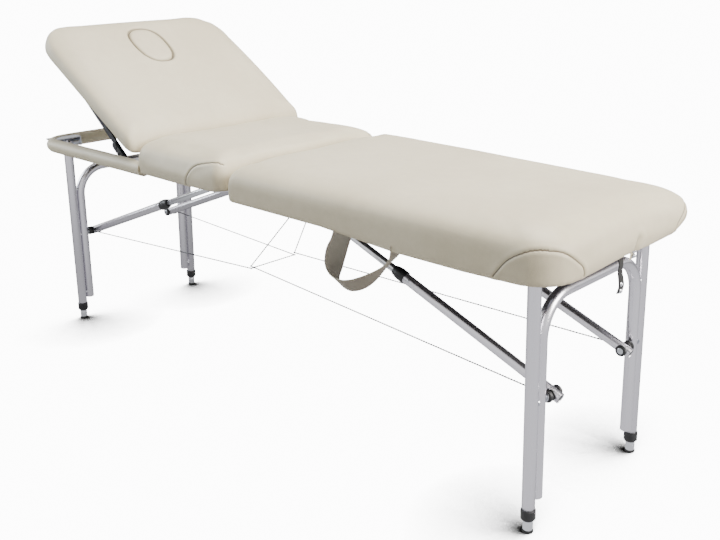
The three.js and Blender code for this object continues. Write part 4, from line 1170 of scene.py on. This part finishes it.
def edged_band(edges, thickness, cells=16, per_span=8):
    """A strap between two edge curves, with its near-to-far width direction followed at each place."""
    near = smooth_path([a for a, _ in edges], per_span)
    far = smooth_path([b for _, b in edges], per_span)
    rings, marks = [], []
    for i, (a, b) in enumerate(zip(near, far)):
        middle = (a + b) / 2
        ahead = min(i + 1, len(near) - 1)
        behind = max(i - 1, 0)
        tangent = ((near[ahead] + far[ahead]) - (near[behind] + far[behind])).normalized()
        side = b - a
        normal = tangent.cross(side).normalized()
        ring, mark = [], []
        for face in (1, -1):
            for k in range(cells + 1):
                s = (-1 + 2 * k / cells) * face
                bulge = thickness / 2 * (1 - 0.75 * abs(s) ** 8)
                ring.append(middle + side * (s / 2) + normal * (face * bulge))
                mark.append(abs(s))
        rings.append(ring)
        marks.append(mark)
    return skin(rings), marks, near, far


(points, faces), marks, near_edge, far_edge = edged_band(HANDLE_EDGES, 3.2)
handle = make("carry_handle_band", points, faces, "handle_band", "handle", 70, ("carry_handle",))
mark_points(handle, "seam", [0.9 * math.exp(-((m - 1.0) / 0.09) ** 2) for ring in marks for m in ring])
inner_face = len(marks[0]) // 2
mark_points(handle, "lining", [0.85 if k < inner_face else 0.0 for ring in marks for k in range(len(ring))])


def band_stitches(path, widths, twists, across, inset, lift, pitch=6.5, length=4.0, radius=0.4):
    """Thread stitches along both edges and both faces of a strap."""
    frames = frames_along(path, across)
    parts = []
    for edge in (-1, 1):
        for face in (-1, 1):
            line = []
            for (tangent, side, _), p, width, twist in zip(frames, path, widths, twists):
                side = Quaternion(tangent, twist) @ side
                line.append(p + side * (edge * (width / 2 - inset)) + tangent.cross(side) * (face * lift))
            walked, due = 0.0, 3.0
            for a, b in zip(line, line[1:]):
                step = (b - a).length
                while due < walked + step:
                    at = a.lerp(b, (due - walked) / step)
                    way = (b - a).normalized()
                    parts.append(tube_parts([at - way * length / 2, at, at + way * length / 2], radius, 6,
                                            first_side=across))
                    due += pitch
                walked += step
    return merge_parts(parts)


parts = []
for edge in (0.07, 0.93):
    line = [a.lerp(b, edge) for a, b in zip(near_edge, far_edge)]
    due, walked = 3.0, 0.0
    for k, (a, b) in enumerate(zip(line, line[1:])):
        step = (b - a).length
        normal = (b - a).normalized().cross(far_edge[k] - near_edge[k]).normalized()
        while due < walked + step:
            at = a.lerp(b, (due - walked) / step)
            way = (b - a).normalized() * 2.0
            for face in (1, -1):
                spot = at + normal * (face * 1.45)
                parts.append(tube_parts([spot - way, spot, spot + way], 0.4, 6, first_side=normal))
            due += 6.5
        walked += step
points, faces = merge_parts(parts)
make("carry_handle_stitching", points, faces, "upholstery", "handle", 70)

# ---- Closing strap, snaps and the small fittings at the foot end -----------------------------------

STRAP_POINTS = [(936, -14, 583), (950, -14, 581), (956.5, -14, 568), (956, -14.5, 550), (959.5, -14, 532),
                (961, -13.6, 518), (957.5, -14, 502)]
strap_path = smooth_path(STRAP_POINTS, 8)
strap_widths = [19.0] * len(strap_path)
strap_twists = [math.radians(10) * smoothstep(0.3, 0.9, i / len(strap_path))
                for i in range(len(strap_path))]
(points, faces), _ = grid_band(strap_path, strap_widths, strap_twists, (0, 1, 0), 2.4, 12)
make("closing_strap_webbing", points, faces, "webbing", "foot_half", 70, ("closing_strap",))
points, faces = band_stitches(strap_path, strap_widths, strap_twists, (0, 1, 0), 2.2, 1.1, 5, 3.2, 0.3)
make("closing_strap_stitching", points, faces, "webbing", "foot_half", 70)
parts = []
for height in (523, 508):
    for face in (1, -1):
        parts.append(lathe_parts((960.2 + face * 0.8, -14, height), (face, 0, 0.05),
                                 [(0, 5.2), (1.0, 5.2), (1.7, 4.4), (1.9, 3.0), (3.2, 2.7), (3.8, 1.8),
                                  (4.0, 0.2)], 24))
points, faces = merge_parts(parts)
make("closing_strap_snaps", points, faces, "polished_rod", "foot_half", 40)

SNAP_Y = 30
parts = []
for height in (586, 575):
    parts.append(lathe_parts((958, SNAP_Y, height), (1, 0, 0),
                             [(0, 5.0), (4, 5.0), (5.2, 4.4), (5.6, 3.0), (7.4, 2.6), (8.0, 1.6),
                              (8.2, 0.2)], 24))
points, faces = merge_parts(parts)
make("closing_snap_studs", points, faces, "polished_rod", "foot_half", 40)
tab_path = smooth_path([(x, SNAP_Y, z) for x, z in ((950, 604), (956, 597), (957.6, 584), (957, 568))], 6)
(points, faces), _ = grid_band(tab_path, [20.0] * len(tab_path), [0.0] * len(tab_path), (0, 1, 0), 2.2, 10)
make("closing_snap_tab", points, faces, "upholstery", "foot_half", 70)

# ---- Small fittings on the struts, brackets and boards ---------------------------------------------

STRUT_PIVOT = Vector((-505, 0, 612))
LUG = Vector((-800.10, 0, 858.98))
strut_way = (LUG - STRUT_PIVOT).normalized()
for side_name, sign in SIDES:
    out = (0, sign, 0)
    lathe(f"strut_sleeve_pin_{side_name}", STRUT_PIVOT, out,
          [(252.6, 0.2), (252.6, 5.6), (254.4, 6.4), (254.8, 4.2)], "steel", "head_half", 24, 40)
    lathe(f"strut_lug_pin_{side_name}", LUG, out,
          [(243.4, 0.2), (243.4, 5.4), (246.2, 6.6), (246.8, 4.2)], "steel", "backrest", 24, 40)
    parts = []
    for k in range(12):
        spot = STRUT_PIVOT + strut_way * (86 + 22 * k)
        parts.append(lathe_parts(spot, out, [(245.8, 0.2), (245.8, 2.6), (246.9, 3.2), (247.4, 3.2)], 12))
    points, faces = merge_parts(parts)
    make(f"strut_ratchet_studs_{side_name}", points, faces, "painted_steel", "strut_bars", 40)
    sleeve_end = STRUT_PIVOT + strut_way * 56
    lathe(f"strut_catch_{side_name}", sleeve_end, out,
          [(246.4, 0.2), (246.4, 8.6), (247.6, 9.6), (261.4, 9.6), (262.6, 8.6), (262.6, 0.2)],
          "painted_steel", "strut_sleeves", 28, 40)

for prefix, end in ENDS:
    half = f"{prefix}_half"
    for side_name, sign in SIDES:
        nut = lathe_parts((end * LEG_PIVOT_X, 0, LEG_PIVOT_Z), (0, sign, 0),
                          [(247.4, 5), (247.5, 8.8), (253.0, 8.8), (253.6, 8.0), (253.6, 5), (256, 5),
                           (256.4, 0.2)], 6)
        head = lathe_parts((end * LEG_PIVOT_X, 0, LEG_PIVOT_Z), (0, sign, 0),
                           [(181.0, 0.2), (181.0, 7), (182.4, 8.6), (186.2, 8.6), (186.4, 5)], 24)
        points, faces = merge_parts([nut, head])
        make(f"{prefix}_leg_pivot_bolt_{side_name}", points, faces, "steel", half, 30)
        parts = []
        for x in (50, 104):
            parts.append(lathe_parts((end * x, sign * BRACE_Y, 626.9), (0, 0, -1),
                                     [(0, 3.8), (0.6, 3.8), (2.0, 2.6), (2.4, 0.2)], 16))
        points, faces = merge_parts(parts)
        make(f"{prefix}_fold_bracket_screws_{side_name}", points, faces, "steel", half, 40)

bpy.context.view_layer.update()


def studio_floor():
    """Pale floor. The camera sees it white with contact shadows that lean away from the nearer end light;
    reflections see it light in front and dimmer behind; for the light it is an ordinary grey floor."""
    mesh = bpy.data.meshes.new("studio_floor")
    mesh.from_pydata([(x * FLOOR_HALF, y * FLOOR_HALF, 0) for x, y in ((-1, -1), (1, -1), (1, 1), (-1, 1))],
                     [], [(0, 1, 2, 3)])
    floor = bpy.data.objects.new("studio_floor", mesh)
    bpy.context.scene.collection.objects.link(floor)
    material = bpy.data.materials.new("studio_floor")
    material.use_nodes = True
    mesh.materials.append(material)
    material.node_tree.nodes.clear()
    n = Nodes(material.node_tree)
    place = n.node("ShaderNodeNewGeometry").outputs["Position"]
    towards_end = n.math("MULTIPLY", n.facing(place, (1, 0, 0)), 8)
    lean = n.math("MULTIPLY", n.math("MAXIMUM", n.math("MINIMUM", towards_end, 1), -1), SHADOW_LEAN)
    normal = n.node("ShaderNodeCombineXYZ", {"X": lean, "Y": 0.12, "Z": 0.55}).outputs[0]
    shade = n.node("ShaderNodeAmbientOcclusion", {"Distance": SHADOW_REACH, "Normal": normal}, samples=12)
    seen = n.math("MULTIPLY", n.math("POWER", shade.outputs["AO"], SHADOW_DEPTH), FLOOR_WHITE)
    front = n.node("ShaderNodeMapRange", {
        "Value": n.facing(place, (0.69, -0.72, 0)), "From Min": -1.6, "From Max": 1.1,
        "To Min": FLOOR_SHINE[0], "To Max": FLOOR_SHINE[1]}, interpolation_type="SMOOTHSTEP").outputs["Result"]
    grey = (FLOOR_BOUNCE, FLOOR_BOUNCE, FLOOR_BOUNCE, 1)
    n.by_ray(n.node("ShaderNodeBsdfDiffuse", {"Color": grey}).outputs[0],
             n.node("ShaderNodeEmission", {"Color": (0.97, 0.97, 1.0, 1), "Strength": front}).outputs[0],
             n.node("ShaderNodeEmission", {"Strength": seen}).outputs[0], "ShaderNodeOutputMaterial")


def studio_world():
    """White to the camera, a soft sky for the light, and a sky with a dark patch for reflections."""
    world = bpy.data.worlds.new("studio")
    bpy.context.scene.world = world
    world.use_nodes = True
    world.node_tree.nodes.clear()
    n = Nodes(world.node_tree)
    way = n.node("ShaderNodeTexCoord").outputs["Generated"]
    sky = n.ramp(n.facing(way, Vector(DARK_WAY).normalized()), (1, 1, 1, 1), DARK_SKY, 0.62, 0.92)
    skies = (((1.0, 0.99, 0.97, 1), SKY), (sky, SKY_SHINE), ((1, 1, 1, 1), FLOOR_WHITE))
    n.by_ray(*(n.node("ShaderNodeBackground", {"Color": colour, "Strength": strength}).outputs[0]
               for colour, strength in skies), "ShaderNodeOutputWorld")


def softbox(name, place, aim, width, height, power, colour):
    light = bpy.data.lights.new(name, "AREA")
    light.shape = "RECTANGLE"
    light.size = width
    light.size_y = height
    light.energy = power
    light.color = colour
    obj = bpy.data.objects.new(name, light)
    bpy.context.scene.collection.objects.link(obj)
    obj.location = place
    obj.rotation_euler = (Vector(aim) - Vector(place)).to_track_quat("-Z", "Y").to_euler()


FLOOR_HALF = 30                 # metres
FLOOR_WHITE = 12.5
FLOOR_BOUNCE = 0.32
FLOOR_SHINE = (0.26, 1.05)      # behind and in front of the table
SHADOW_LEAN = 1.0
SHADOW_REACH = 0.26
SHADOW_DEPTH = 15
SKY = 0.42
SKY_SHINE = 1.15
DARK_WAY = (-0.26, 0.70, 0.66)
DARK_SKY = (0.09, 0.095, 0.11, 1)
studio_floor()
studio_world()
softbox("softbox_left", (-3.4, -1.9, 1.9), (0, 0, 0.6), 2.2, 1.8, 120, (0.86, 0.94, 1.0))
softbox("softbox_right", (3.6, 0.9, 2.2), (0.2, 0, 0.6), 2.2, 2.0, 240, (1.0, 0.965, 0.92))
softbox("softbox_top", (0.5, 0.5, 3.4), (0.2, 0, 0.6), 3.0, 2.0, 210, (1.0, 0.985, 0.955))

CAMERA_PLACE = (1.7672, -1.6748, 1.1759)
CAMERA_YAW = math.radians(43.5)
CAMERA_PITCH = math.radians(19.21)
CAMERA_ROLL = math.radians(-0.38)
FOCAL_PIXELS = 903.3
PICTURE_WIDTH = 720
camera_data = bpy.data.cameras.new("camera")
camera_data.sensor_width = 36
camera_data.lens = FOCAL_PIXELS / PICTURE_WIDTH * camera_data.sensor_width
camera = bpy.data.objects.new("camera", camera_data)
bpy.context.scene.collection.objects.link(camera)
turn = (Matrix.Rotation(CAMERA_YAW, 4, "Z") @ Matrix.Rotation(math.pi / 2 - CAMERA_PITCH, 4, "X")
        @ Matrix.Rotation(CAMERA_ROLL, 4, "Z"))
camera.matrix_world = Matrix.Translation(CAMERA_PLACE) @ turn
bpy.context.scene.camera = camera
